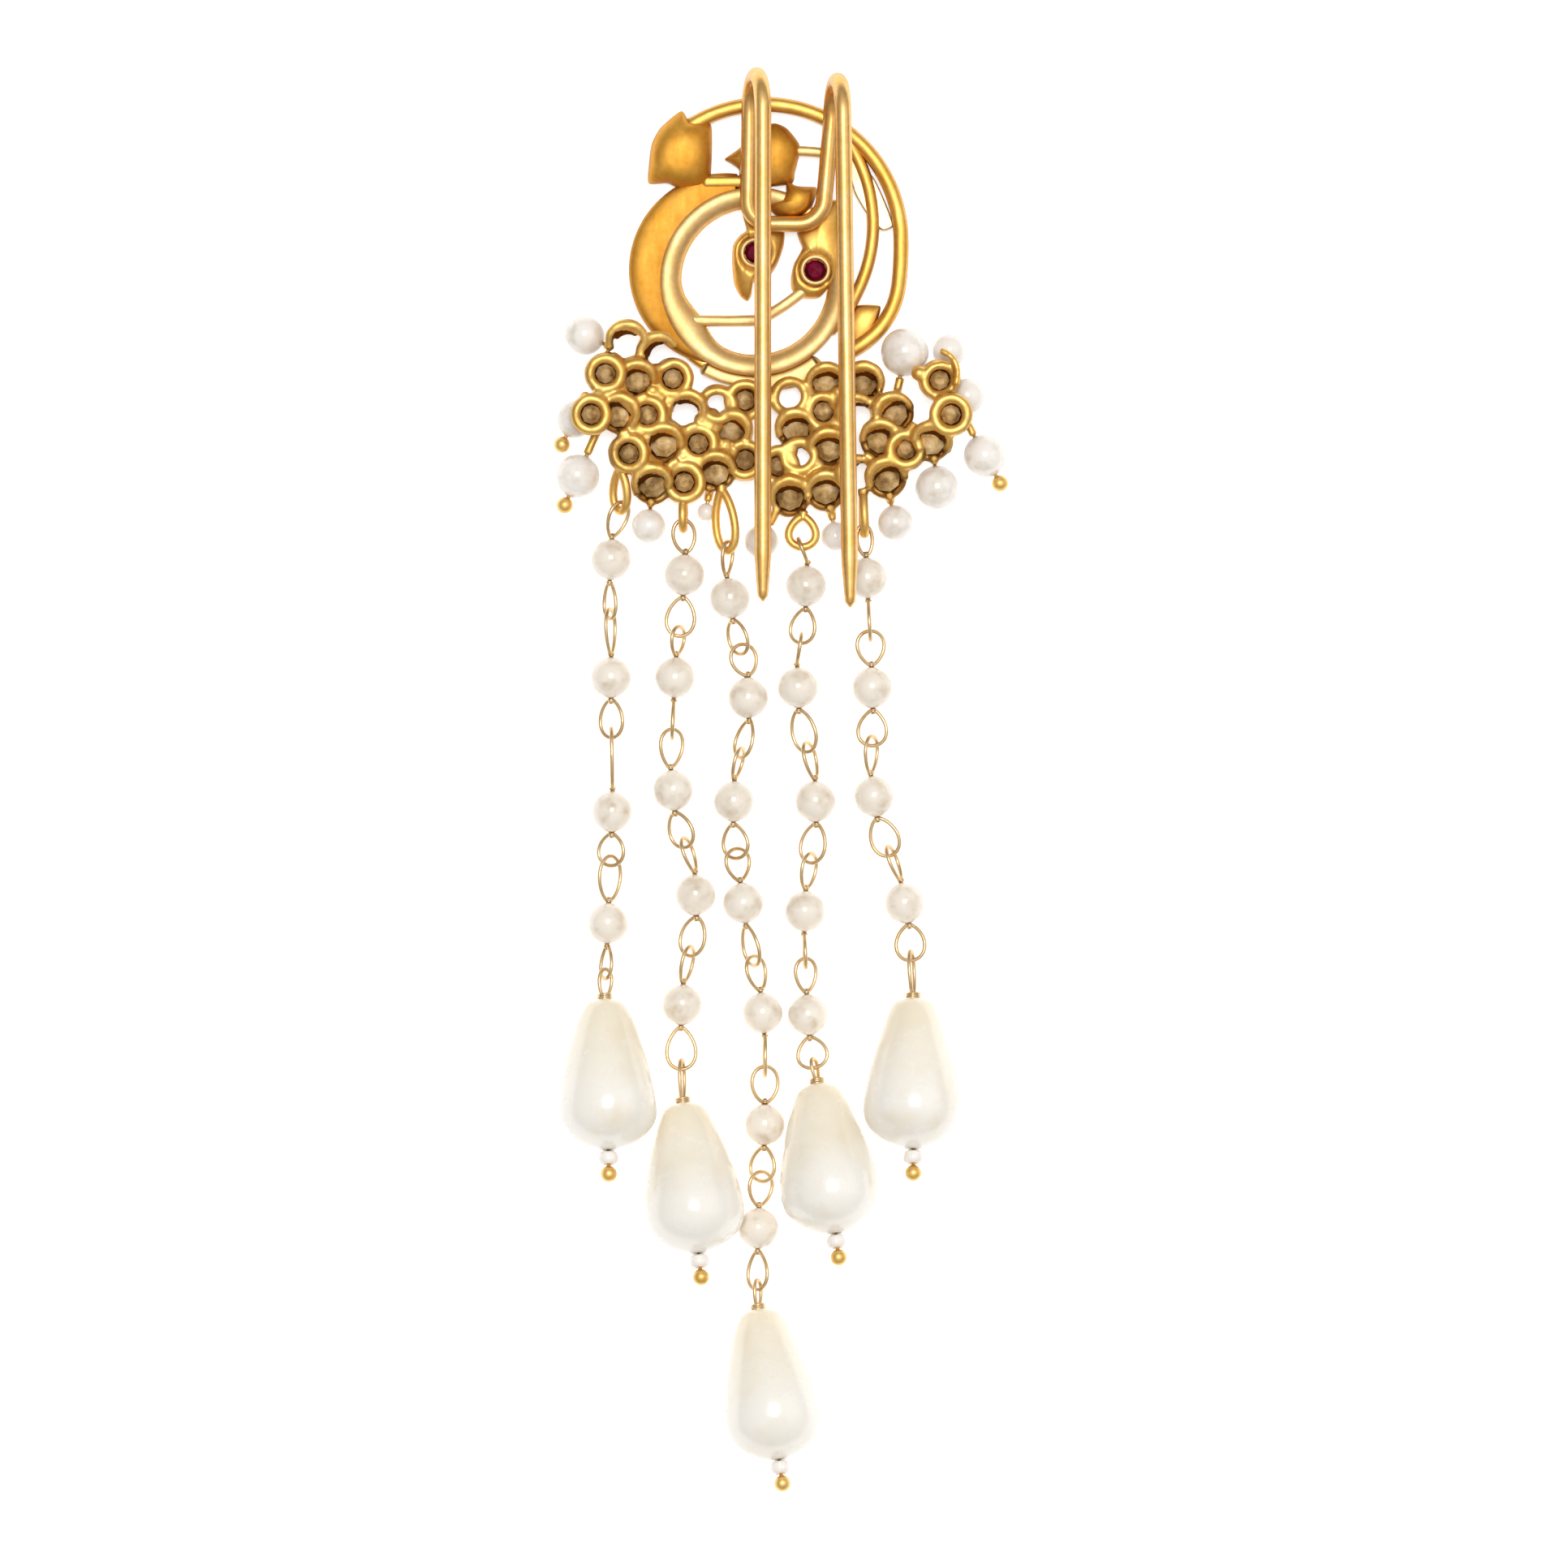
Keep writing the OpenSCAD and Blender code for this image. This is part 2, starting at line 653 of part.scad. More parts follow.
frame_fork_and_net();
ruby(LEFT_EYE);  // ruby_eye_left
ruby(RIGHT_EYE);  // ruby_eye_right
net_stones();
fringe_pearls();
strand_pearls(STRAND_1, EARS[0][1], DROP_TURNS[0]);  // strand_1_pearls
strand_wires(STRAND_1, EARS[0][1], LINKS_1, DROP_TURNS[0]);  // strand_1_wires
strand_pearls(STRAND_2, EARS[1][1], DROP_TURNS[1]);  // strand_2_pearls
strand_wires(STRAND_2, EARS[1][1], LINKS_2, DROP_TURNS[1]);  // strand_2_wires
strand_pearls(STRAND_3, EARS[2][1], DROP_TURNS[2]);  // strand_3_pearls
strand_wires(STRAND_3, EARS[2][1], LINKS_3, DROP_TURNS[2]);  // strand_3_wires
strand_pearls(STRAND_4, EARS[3][1], DROP_TURNS[3]);  // strand_4_pearls
strand_wires(STRAND_4, EARS[3][1], LINKS_4, DROP_TURNS[3]);  // strand_4_wires
strand_pearls(STRAND_5, EARS[4][1], DROP_TURNS[4]);  // strand_5_pearls
strand_wires(STRAND_5, EARS[4][1], LINKS_5, DROP_TURNS[4]);  // strand_5_wires
drop(STRAND_1, DROP_TURNS[0]);  // drop_1
drop(STRAND_2, DROP_TURNS[1]);  // drop_2
drop(STRAND_3, DROP_TURNS[2]);  // drop_3
drop(STRAND_4, DROP_TURNS[3]);  // drop_4
drop(STRAND_5, DROP_TURNS[4]);  // drop_5
seed_beads();
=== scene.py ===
"""A hair bun pin lying face down on a pale surface, seen from straight above.

Gold, wires, pearls and drops are built here in place of their solids. The cut stones are
the solids themselves with a new material. Lengths are in mm until Shape.build.
"""

from itertools import combinations
from math import asin, atan2, copysign, cos, dist, exp, pi, radians, sin, sqrt

import bmesh
import bpy
import numpy as np
from mathutils import Matrix, Vector, noise


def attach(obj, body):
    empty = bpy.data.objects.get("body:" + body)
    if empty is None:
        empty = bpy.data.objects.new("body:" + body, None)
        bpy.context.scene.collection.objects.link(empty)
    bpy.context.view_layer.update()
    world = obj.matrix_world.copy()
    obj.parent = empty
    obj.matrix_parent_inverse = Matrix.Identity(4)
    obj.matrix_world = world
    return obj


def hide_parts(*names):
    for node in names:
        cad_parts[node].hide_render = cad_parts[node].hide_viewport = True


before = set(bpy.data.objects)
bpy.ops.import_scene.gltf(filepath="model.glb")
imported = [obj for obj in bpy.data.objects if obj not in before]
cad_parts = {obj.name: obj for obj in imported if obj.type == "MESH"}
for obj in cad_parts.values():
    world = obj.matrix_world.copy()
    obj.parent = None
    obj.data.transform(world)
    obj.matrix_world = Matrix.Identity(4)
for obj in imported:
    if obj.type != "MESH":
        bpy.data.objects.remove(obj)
scene = bpy.context.scene
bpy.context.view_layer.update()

MM = 0.001
BODY = "root"
GOLD_NODE = "frame_fork_and_net"

# Pearls, wires and drops
PEARL_R = 2.05
BORE_R = 0.36
PIN_R = 0.21
# The pin between a bead and its eye, and how far two linked eyes reach into each other
NECK = 0.45
EYE_LAP = 0.85
HOOK_R = 0.42
HOOK_SLACK = 0.22
POST_R = 0.45
DROP_R = 5.0
DROP_LENGTH = 15.0
DROP_RISE = radians(11.0)
BEAD_GAP = 0.12
SEED_R = 1.0
SEED_LENGTH = 1.3
SEED_RINGS = 17
SEED_BORE_END = 0.35
BALL_R = 0.8

# Each strand, from the net on: the hook's tip, each pearl and the drop's narrow end
STRANDS = [
    [(-15.8, 26.4), (-16.7, 21.6), (-16.7, 10), (-16.6, -3.2), (-17, -14.2), (-17.3, -21.7)],
    [(-9.6, 24.6), (-9.5, 20.1), (-10.4, 10), (-10.6, -1.1), (-8.4, -11.4), (-9.7, -22.2),
     (-9.6, -31.9)],
    [(-5.2, 22.5), (-5, 17.8), (-3.2, 8), (-4.6, -2.2), (-3.7, -12.2), (-1.8, -23), (-1.6, -34),
     (-2.2, -44.2), (-2.2, -52.2)],
    [(2.05, 22.85), (2.5, 19), (1.7, 9), (3.4, -2.2), (2.4, -13), (2.7, -23.2), (3.6, -30)],
    [(8.2, 24.1), (8.5, 19.8), (9, 9), (9.2, -1.7), (12.2, -12.2), (13, -21.6)],
]
# The two eyes in each gap of a strand: where they cross as a share of the gap, then width and
# turn of the upper and of the lower eye. The first gap has a hook for its upper eye.
LINKS = [
    [(0, 0, 0, 3, 45), (0.43, 2.4, 50, 3.1, 68), (0.36, 3.1, 32, 3.1, 88),
     (0.39, 3.2, 25, 3.1, 38), (0.54, 2.8, 60, 1.9, 30)],
    [(0, 0, 0, 2.6, 10), (0.6, 3.2, 5, 2.9, 58), (0.5, 3.1, 88, 3, 30), (0.5, 3.1, 30, 3, 66),
     (0.52, 3.1, 25, 2.9, 62), (0.5, 3.3, 5, 2.6, 75)],
    [(0, 0, 0, 2.6, 60), (0.53, 3.1, 45, 3.1, 20), (0.56, 3.1, 50, 2.8, 68),
     (0.52, 3.3, 30, 3.3, 35), (0.55, 3, 52, 3.1, 45), (0.54, 3.1, 85, 3.1, 15),
     (0.5, 3.2, 30, 3.2, 34), (0.6, 3, 40, 1.9, 60)],
    [(0, 0, 0, 2.6, 85), (0.53, 3.1, 25, 3, 88), (0.54, 3.1, 30, 3, 62), (0.53, 3.1, 25, 3, 55),
     (0.5, 3.1, 85, 2.7, 25), (0.58, 3.4, 10, 2, 65)],
    [(0, 0, 0, 2, 12), (0.55, 3.1, 88, 3.2, 15), (0.48, 3.3, 10, 3, 60), (0.52, 3.2, 10, 3, 70),
     (0.42, 3.3, 10, 2.8, 75)],
]
# Root, tip, width and turn of the hook that carries each strand
HOOKS = [
    ((-15.8, 30.4, 3.4), (-15.8, 26.4, 2.5), 2.8, 40),
    ((-9.6, 27.5, 2.5), (-9.6, 24.6, 2.3), 2.8, 88),
    ((-5.8, 28.4, 2.2), (-5.2, 22.5, 2.2), 3.1, 30),
    ((2.2, 25.85, 2), (2.05, 22.85, 2.1), 3.5, 0),
    ((8.1, 28, 2.4), (8.2, 24.1, 2.2), 2.8, 80),
]
# The direction of each drop in degrees
DROP_TURNS = [-88.5, -84, -82, -83, -90]
# Radius as a share of the drop's largest, place as a share of its length
DROP_PROFILE = [
    (0.18, 0), (0.27, 0.007), (0.37, 0.023), (0.45, 0.053), (0.53, 0.107), (0.61, 0.173),
    (0.69, 0.253), (0.77, 0.333), (0.85, 0.427), (0.92, 0.52), (0.976, 0.613), (1, 0.693),
    (0.99, 0.76), (0.94, 0.82), (0.84, 0.873), (0.7, 0.92), (0.52, 0.96), (0.32, 0.987), (0.16, 1),
]
# The net's pearls: x, y, radius, the post's x and y, radius of the ball at the pin's end
FRINGE = [
    (-19.3, 43.7, 2, -16.9, 42.6, 0), (-20.3, 35.4, 1.85, -19.2, 37.6, 0.8),
    (-20, 29.8, 2.2, -18, 34.35, 0.8), (-13, 24.9, 1.7, -12.8, 27.2, 0),
    (-7.35, 26.3, 0.9, -7, 28.6, 0), (-1.9, 23.4, 1.7, -0.4, 26.5, 0),
    (5.4, 23.9, 1.45, 4.9, 26.65, 0), (11.3, 25.2, 1.8, 10.7, 27.8, 0),
    (15.4, 28.65, 2.2, 15.1, 31.4, 0), (20.1, 31.8, 2.16, 18.2, 35.3, 0.8),
    (18.4, 37.7, 1.8, 15.9, 34.5, 0), (16.6, 42.2, 1.7, 15.2, 37.75, 0),
    (12.2, 42, 2.4, 11.4, 37.8, 0),
]

# Meshes

# Points nearer than this, in metres, become one
WELD = 1e-8
# A ball's pole is a ring this small, which the weld closes
POLE = 1e-6
# A side gets painted shade where its normal's height is under this
STEEP = 0.5
RING_STEPS = 28


class Shape:
    """Points and faces. Each face has the number of its material."""

    def __init__(self):
        self.points = []
        self.faces = []
        self.kinds = []

    def add(self, points, faces, kind=0):
        start = len(self.points)
        self.points.extend(points)
        self.faces.extend([tuple(i + start for i in face) for face in faces])
        self.kinds.extend([kind] * len(faces))

    def build(self, name, materials, node=GOLD_NODE, steep_shade=0.0):
        """Makes a node's piece; the last number sets the painted shade on its steep sides."""
        mesh = bpy.data.meshes.new(name)
        mesh.from_pydata([[x * MM for x in p] for p in self.points], [], self.faces)
        for material in materials:
            mesh.materials.append(material)
        mesh.polygons.foreach_set("material_index", self.kinds)
        mesh.polygons.foreach_set("use_smooth", [len(face) < 5 for face in self.faces])
        weld(mesh)
        # Painted shade on the steep sides, which the material reads
        if steep_shade:
            steep = np.clip((STEEP - vectors(mesh, "normal")[:, 2]) / STEEP, 0, 1)
            mark(mesh, "painted_shade", steep * steep_shade)
        piece = new_object(name, mesh)
        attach(piece, BODY)
        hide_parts(node)
        return piece


def new_object(name, data):
    """Puts a mesh, a lamp or a camera into the scene."""
    made = bpy.data.objects.new(name, data)
    scene.collection.objects.link(made)
    return made


def weld(mesh):
    """Joins points that lie in one place and turns every face outward."""
    work = bmesh.new()
    work.from_mesh(mesh)
    bmesh.ops.remove_doubles(work, verts=work.verts, dist=WELD)
    bmesh.ops.recalc_face_normals(work, faces=work.faces)
    work.to_mesh(mesh)
    work.free()
    mesh.update()


def vectors(mesh, kind):
    """A mesh's points ("co") or normals ("normal") as rows of three numbers."""
    values = np.empty(len(mesh.vertices) * 3)
    mesh.vertices.foreach_get(kind, values)
    return values.reshape(-1, 3)


def mark(mesh, name, values):
    """Gives each point a value that a material reads by its name."""
    mesh.attributes.new(name, "FLOAT", "POINT").data.foreach_set("value", values)


def grid_faces(rows, across, closed=False):
    """Quads between rows of points. Each row is a ring, and closed joins the last to the first."""
    faces = []
    for i in range(rows if closed else rows - 1):
        here = i * across
        there = ((i + 1) % rows) * across
        for j in range(across):
            k = (j + 1) % across
            faces.append((here + j, here + k, there + k, there + j))
    return faces


def end_faces(rows, across):
    """The two flat faces that close a tube."""
    first = tuple(reversed(range(across)))
    last = tuple(range((rows - 1) * across, rows * across))
    return [first, last]


def step_at(line, i, closed):
    """The step from the point before to the point after."""
    if closed:
        return line[(i + 1) % len(line)] - line[i - 1]
    return line[min(i + 1, len(line) - 1)] - line[max(i - 1, 0)]


def tube(path, radius, sides=10, closed=False):
    """A tube along a line of points. radius is one number or a list with one for each point."""
    path = [Vector(p) for p in path]
    count = len(path)
    radii = radius if isinstance(radius, list) else [radius] * count
    ways = [step_at(path, i, closed).normalized() for i in range(count)]
    side = ways[0].orthogonal().normalized()
    sides_at = [side]
    for i in range(1, count):
        side = ways[i - 1].rotation_difference(ways[i]) @ side
        side = (side - ways[i] * side.dot(ways[i])).normalized()
        sides_at.append(side)
    twist = 0.0
    if closed:
        back = ways[-1].rotation_difference(ways[0]) @ side
        twist = atan2(back.cross(sides_at[0]).dot(ways[0]), back.dot(sides_at[0]))
    points = []
    for i in range(count):
        up = ways[i].cross(sides_at[i])
        turn = twist * i / count
        for j in range(sides):
            angle = 2 * pi * j / sides + turn
            out = sides_at[i] * cos(angle) + up * sin(angle)
            points.append(path[i] + out * radii[i])
    faces = grid_faces(count, sides, closed)
    if not closed:
        faces += end_faces(count, sides)
    return points, faces


def aimed(origin, direction, turn=0.0):
    """The matrix that takes +X to a direction from an origin, turned about it."""
    way = Vector(direction).normalized()
    rise = asin(max(-1.0, min(1.0, way.z)))
    around = atan2(way.y, way.x)
    return (Matrix.Translation(origin) @ Matrix.Rotation(around, 4, "Z")
            @ Matrix.Rotation(-rise, 4, "Y") @ Matrix.Rotation(radians(turn), 4, "X"))


def lathe(profile, sides, matrix, bulge=None, bored=False):
    """A profile of (place, radius) turned about +X.

    bulge(point) is how far a point moves outward. Where it is bored, a tube joins the
    profile's last ring to its first.
    """
    points = []
    for place, radius in profile:
        for j in range(sides):
            angle = 2 * pi * j / sides
            point = Vector((place, radius * cos(angle), radius * sin(angle)))
            if bulge:
                point += Vector((0, cos(angle), sin(angle))) * bulge(point)
            points.append(matrix @ point)
    return points, grid_faces(len(profile), sides, bored)


def ball(center, radius, matrix, sides=20, rings=12):
    profile = []
    for i in range(rings + 1):
        angle = pi * i / rings
        profile.append((-radius * cos(angle), max(POLE, radius * sin(angle))))
    return lathe(profile, sides, Matrix.Translation(center) @ matrix.to_3x3().to_4x4())


def torus(center, major, minor, tilt=0.0, turn=0.0, squash=1.0):
    """A ring of wire, tipped so that its +Y side is higher, then turned about Z."""
    matrix = (Matrix.Translation(center) @ Matrix.Rotation(radians(turn), 4, "Z")
              @ Matrix.Rotation(radians(tilt), 4, "X"))
    path = []
    for i in range(RING_STEPS):
        angle = 2 * pi * i / RING_STEPS
        path.append(matrix @ Vector((major * cos(angle), major * squash * sin(angle), 0)))
    return tube(path, minor, 12, True)


def arc(center, radius, start, end, z, count):
    """Points on a level arc, at both its ends and between them."""
    points = []
    for i in range(count + 1):
        angle = radians(start + (end - start) * i / count)
        points.append((center[0] + radius * cos(angle), center[1] + radius * sin(angle), z))
    return points


def smooth_line(points, steps):
    """A smooth curve through the points."""
    points = [Vector(p) for p in points]
    last = len(points) - 1
    line = []
    for i in range(last):
        before = points[max(i - 1, 0)]
        start = points[i]
        end = points[i + 1]
        after = points[min(i + 2, last)]
        for step in range(steps):
            t = step / steps
            line.append(0.5 * (2 * start + (end - before) * t
                               + (2 * before - 5 * start + 4 * end - after) * t * t
                               + (3 * start - before - 3 * end + after) * t ** 3))
    line.append(points[-1])
    return line


def relaxed(line, passes):
    """The line with its kinks evened out and its ends kept."""
    line = [Vector(p) for p in line]
    for number in range(passes):
        inner = [(line[i - 1] + 2 * line[i] + line[i + 1]) / 4 for i in range(1, len(line) - 1)]
        line = [line[0]] + inner + [line[-1]]
    return line


def dense(outline, steps, tight):
    """A closed outline of many points, with its corners kept soft."""
    corners = [Vector((p[0], p[1])) for p in outline]
    count = len(corners)
    line = []
    for i in range(count):
        before = corners[i - 1]
        start = corners[i]
        end = corners[(i + 1) % count]
        after = corners[(i + 2) % count]
        leaving = (end - before) * tight
        arriving = (after - start) * tight
        for step in range(steps):
            t = step / steps
            line.append((2 * t ** 3 - 3 * t ** 2 + 1) * start
                        + (t ** 3 - 2 * t ** 2 + t) * leaving
                        + (3 * t ** 2 - 2 * t ** 3) * end + (t ** 3 - t ** 2) * arriving)
    return line


def wobble(x, y, z, scale, amount):
    """A small shift that makes a surface look cast by hand."""
    return amount * noise.noise(Vector((x * scale, y * scale, z * scale)))


# Materials

def node_tree(name):
    material = bpy.data.materials.new(name)
    material.use_nodes = True
    tree = material.node_tree
    return material, tree, tree.nodes["Principled BSDF"]


def set_inputs(tree, node, values):
    """Sets a node's inputs by name. A value that is another node's output is linked."""
    for name, value in values.items():
        if hasattr(value, "is_linked"):
            tree.links.new(value, node.inputs[name])
        else:
            node.inputs[name].default_value = value


def new_node(tree, kind, values):
    node = tree.nodes.new(kind)
    set_inputs(tree, node, values)
    return node


def coordinates(tree, scale=(1, 1, 1)):
    """Object coordinates of which one unit is one millimetre, times a scale."""
    place = tree.nodes.new("ShaderNodeTexCoord").outputs["Object"]
    values = {"Vector": place, "Scale": [s / MM for s in scale]}
    return new_node(tree, "ShaderNodeMapping", values).outputs["Vector"]


def noise_node(tree, vector, scale, detail):
    values = {"Vector": vector, "Scale": scale, "Detail": detail, "Roughness": 0.55}
    return new_node(tree, "ShaderNodeTexNoise", values).outputs["Fac"]


def ramp(tree, value, stops):
    """Colours at places from 0 to 1, mixed between them."""
    node = new_node(tree, "ShaderNodeValToRGB", {"Fac": value})
    elements = node.color_ramp.elements
    while len(elements) < len(stops):
        elements.new(0.5)
    for element, (place, color) in zip(elements, stops):
        element.position = place
        element.color = (*color, 1)
    return node.outputs["Color"]


def span(tree, value, low, high):
    """A value from 0 to 1 taken to low to high."""
    values = {"Value": value, "To Min": low, "To Max": high}
    return new_node(tree, "ShaderNodeMapRange", values).outputs["Result"]


def mix(tree, factor, first, second, blend="MIX"):
    """Mixes two colours. Each input is another node's output, a number or a colour."""
    node = tree.nodes.new("ShaderNodeMix")
    node.data_type = "RGBA"
    node.blend_type = blend
    for name, value in (("Factor", factor), ("A", first), ("B", second)):
        set_inputs(tree, node, {name: (*value, 1) if isinstance(value, tuple) else value})
    return node.outputs["Result"]


def marked(tree, name, color, other):
    """The colour turned to the other by the value that the points carry under a name."""
    layer = tree.nodes.new("ShaderNodeAttribute")
    layer.attribute_name = name
    return mix(tree, layer.outputs["Fac"], color, other)


def finish(tree, shader, color, rough, heights):
    """Links a colour, a roughness and bumps in series: (height, strength, distance)."""
    set_inputs(tree, shader, {"Base Color": color, "Roughness": rough})
    before = shader
    for height, strength, distance in reversed(heights):
        values = {"Height": height, "Strength": strength, "Distance": distance * MM}
        node = new_node(tree, "ShaderNodeBump", values)
        set_inputs(tree, before, {"Normal": node.outputs["Normal"]})
        before = node


def gold(name, light, deep, rough, painted_shade_color=(0.24, 0.09, 0.012), grain=1.0):
    """Worn satin gold: soft colour clouds, a fine cast grain, scratches along Y and painted shade.
    """
    material, tree, shader = node_tree(name)
    place = coordinates(tree)
    cloud = noise_node(tree, place, 0.35, 4)
    fine = noise_node(tree, place, 2.2, 3)
    scratches = noise_node(tree, coordinates(tree, (1.4, 0.2, 1.4)), 1.6, 3)
    color = mix(tree, span(tree, cloud, -0.4, 1.4), deep, light)
    worn = ramp(tree, fine, [(0.36, (0.90, 0.87, 0.82)), (0.6, (1, 1, 1))])
    color = mix(tree, 0.7, color, worn, "MULTIPLY")
    # Painted shade where the points are marked
    color = marked(tree, "painted_shade", color, painted_shade_color)
    set_inputs(tree, shader, {"Metallic": 1.0})
    finish(tree, shader, color, span(tree, scratches, *rough),
           [(scratches, 0.12 * grain, 0.05), (fine, 0.16 * grain, 0.03)])
    return material


def pearl(name, light, shade, blush, rough=0.22, pattern=1.0, glow=0.0, warm=None):
    """Pearl lustre: soft blotches of shade and blush under a clear gloss.

    warm is the colour towards a drop's narrow end, and pattern how fine the blotches are.
    """
    material, tree, shader = node_tree(name)
    place = coordinates(tree)
    blotch = noise_node(tree, place, 0.55 * pattern, 2)
    swirl = noise_node(tree, place, 1.3 * pattern, 2)
    skin = noise_node(tree, place, 9.0, 3)
    color = ramp(tree, blotch, [(0.22, shade), (0.52, light), (0.7, light)])
    color = mix(tree, span(tree, swirl, -0.25, 0.75), color, blush)
    if warm:
        color = marked(tree, "narrow", color, warm)
    set_inputs(tree, shader, {"Coat Weight": 0.9, "Coat Roughness": 0.14,
                              "Subsurface Weight": glow, "Subsurface Scale": 1.0,
                              "Subsurface Radius": (0.8 * MM, 0.6 * MM, 0.4 * MM)})
    finish(tree, shader, color, span(tree, swirl, rough - 0.06, rough + 0.1),
           [(swirl, 0.08, 0.08), (skin, 0.03, 0.01)])
    return material


def cut_stone(name, dark, middle, painted_glint, ior):
    """A cloudy cut stone with painted glints, its depth of colour different from stone to stone.
    """
    material, tree, shader = node_tree(name)
    place = coordinates(tree)
    depth = noise_node(tree, place, 0.9, 3)
    spark = noise_node(tree, place, 3.2, 2)
    neighbour = noise_node(tree, place, 0.28, 1)
    # The brightest colour is painted glints
    color = ramp(tree, depth, [(0.35, dark), (0.5, middle), (0.66, painted_glint)])
    color = mix(tree, span(tree, spark, -0.1, 0.6), color, middle)
    shade = ramp(tree, neighbour, [(0.38, (0.55, 0.5, 0.42)), (0.6, (1, 1, 1))])
    color = mix(tree, 0.8, color, shade, "MULTIPLY")
    set_inputs(tree, shader, {"IOR": ior})
    finish(tree, shader, color, span(tree, spark, 0.12, 0.34), [(spark, 0.1, 0.05)])
    return material


SATIN = gold("satin_gold", (0.90, 0.56, 0.16), (0.76, 0.39, 0.07), (0.34, 0.5))
FORK_GOLD = gold("fork_gold", (0.92, 0.615, 0.26), (0.80, 0.44, 0.11), (0.3, 0.42))
LEAF_GOLD = gold("orange_gold", (0.86, 0.48, 0.09), (0.66, 0.29, 0.028), (0.46, 0.6))
CRESCENT_GOLD = gold("crescent_gold", (0.80, 0.43, 0.08), (0.62, 0.27, 0.025), (0.46, 0.6))
RING_GOLD = gold("light_gold", (0.95, 0.72, 0.36), (0.87, 0.58, 0.22), (0.42, 0.58))
# Pale gold, made paler still as a painted highlight of glare
PLATE_GOLD_AND_GLARE = gold("pale_plate_gold_and_painted_glare", (0.96, 0.86, 0.60), (0.90, 0.72, 0.40), (0.4, 0.55))
# The net's painted shade is the darkest
NET_GOLD = gold("net_gold", (0.95, 0.65, 0.22), (0.84, 0.49, 0.12), (0.36, 0.52),
                painted_shade_color=(0.15, 0.05, 0.006))
WIRE_GOLD = gold("wire_gold", (0.86, 0.67, 0.42), (0.62, 0.43, 0.22), (0.24, 0.38), grain=0.5)
BALL_GOLD = gold("ball_gold", (0.97, 0.68, 0.27), (0.88, 0.54, 0.15), (0.4, 0.52), grain=0.6)
STRAND_PEARL = pearl("strand_pearl", (0.93, 0.86, 0.74), (0.60, 0.48, 0.32), (0.94, 0.83, 0.75))
FRINGE_PEARL = pearl("fringe_pearl", (0.95, 0.91, 0.84), (0.62, 0.53, 0.40), (0.95, 0.88, 0.84))
DROP_CREAM = pearl("drop_cream", (0.96, 0.92, 0.84), (0.86, 0.77, 0.60), (0.96, 0.94, 0.91),
                   rough=0.24, pattern=0.35, glow=0.1, warm=(0.93, 0.81, 0.58))
SEED_WHITE = pearl("seed_white", (0.96, 0.92, 0.87), (0.86, 0.79, 0.72), (0.97, 0.90, 0.85))
RUBY_RED = cut_stone("ruby_red", (0.09, 0.0, 0.012), (0.22, 0.0, 0.032), (0.40, 0.0, 0.07), 1.3)
STONE_BROWN = cut_stone("stone_brown", (0.24, 0.12, 0.035), (0.64, 0.42, 0.17),
                        (0.93, 0.70, 0.42), 1.38)

# Ways to build the frame

# Points round a ribbon's section, and steps and reach of its round ends
RIBBON_SIDES = 28
END_STEPS = 6
END_REACH = 0.5
# Rings of a dome below and on its crown, and how far the crown's edge is rounded
SKIRT_RINGS = 4
CROWN_RINGS = 14
DOME_EDGE = 0.2


def rounded_end(line, end):
    """Points for a line's first or last end, each with its share of the full width."""
    inward = (line[1] - line[0]) if end == 0 else (line[-2] - line[-1])
    inward.normalize()
    steps = []
    for k in range(END_STEPS):
        angle = pi / 2 * (k + 0.25) / END_STEPS
        steps.append((line[end] + inward * END_REACH * (1 - cos(angle)), sin(angle)))
    return steps


def boxy(value, square):
    """A sine or cosine taken towards a square's corner."""
    return copysign(abs(value) ** (2 / square), value)


def ribbon(shape, line, widths, low, high, kind=0, closed=False, square=3.0, bevel=0.0):
    """A bar along a level line, its section a rounded square, its ends round.

    square is how boxy the section is, and bevel how far its top falls to the line's left.
    """
    line = [Vector(p[:2]) for p in line]
    shares = [1.0] * len(line)
    if not closed:
        head = rounded_end(line, 0)
        tail = rounded_end(line, -1)[::-1]
        line = [p for p, share in head] + line[1:-1] + [p for p, share in tail]
        shares = [share for p, share in head] + shares[1:-1] + [share for p, share in tail]
        widths = [widths[0]] * END_STEPS + widths[1:-1] + [widths[-1]] * END_STEPS
    points = []
    for i, center in enumerate(line):
        step = step_at(line, i, closed)
        side = Vector((step.y, -step.x)).normalized()
        half_width = widths[i] / 2 * shares[i]
        half_height = (high - low) / 2 * (0.4 + 0.6 * shares[i])
        for j in range(RIBBON_SIDES):
            angle = 2 * pi * j / RIBBON_SIDES
            across = boxy(cos(angle), square)
            spot = center + side * half_width * across
            z = (low + high) / 2 + half_height * boxy(sin(angle), square)
            if sin(angle) > 0.2:
                z += wobble(spot.x, spot.y, z, 0.9, 0.04) - bevel * max(0.0, -across - 0.1)
            points.append(Vector((spot.x, spot.y, z)))
    faces = grid_faces(len(line), RIBBON_SIDES, closed)
    if not closed:
        faces += end_faces(len(line), RIBBON_SIDES)
    shape.add(points, faces, kind)


def band(shape, center, inner, outer, start, end, low, high, closed=False, **section):
    """A ribbon round a centre. inner and outer are radii or functions of the angle."""
    count = int(abs(end - start) / 2)
    line = []
    widths = []
    for i in range(count if closed else count + 1):
        degrees = start + (end - start) * i / count
        angle = radians(degrees)
        near = inner(degrees) if callable(inner) else inner
        far = outer(degrees) if callable(outer) else outer
        radius = (near + far) / 2
        line.append((center[0] + radius * cos(angle), center[1] + radius * sin(angle)))
        widths.append(far - near)
    ribbon(shape, line, widths, low, high, closed=closed, **section)


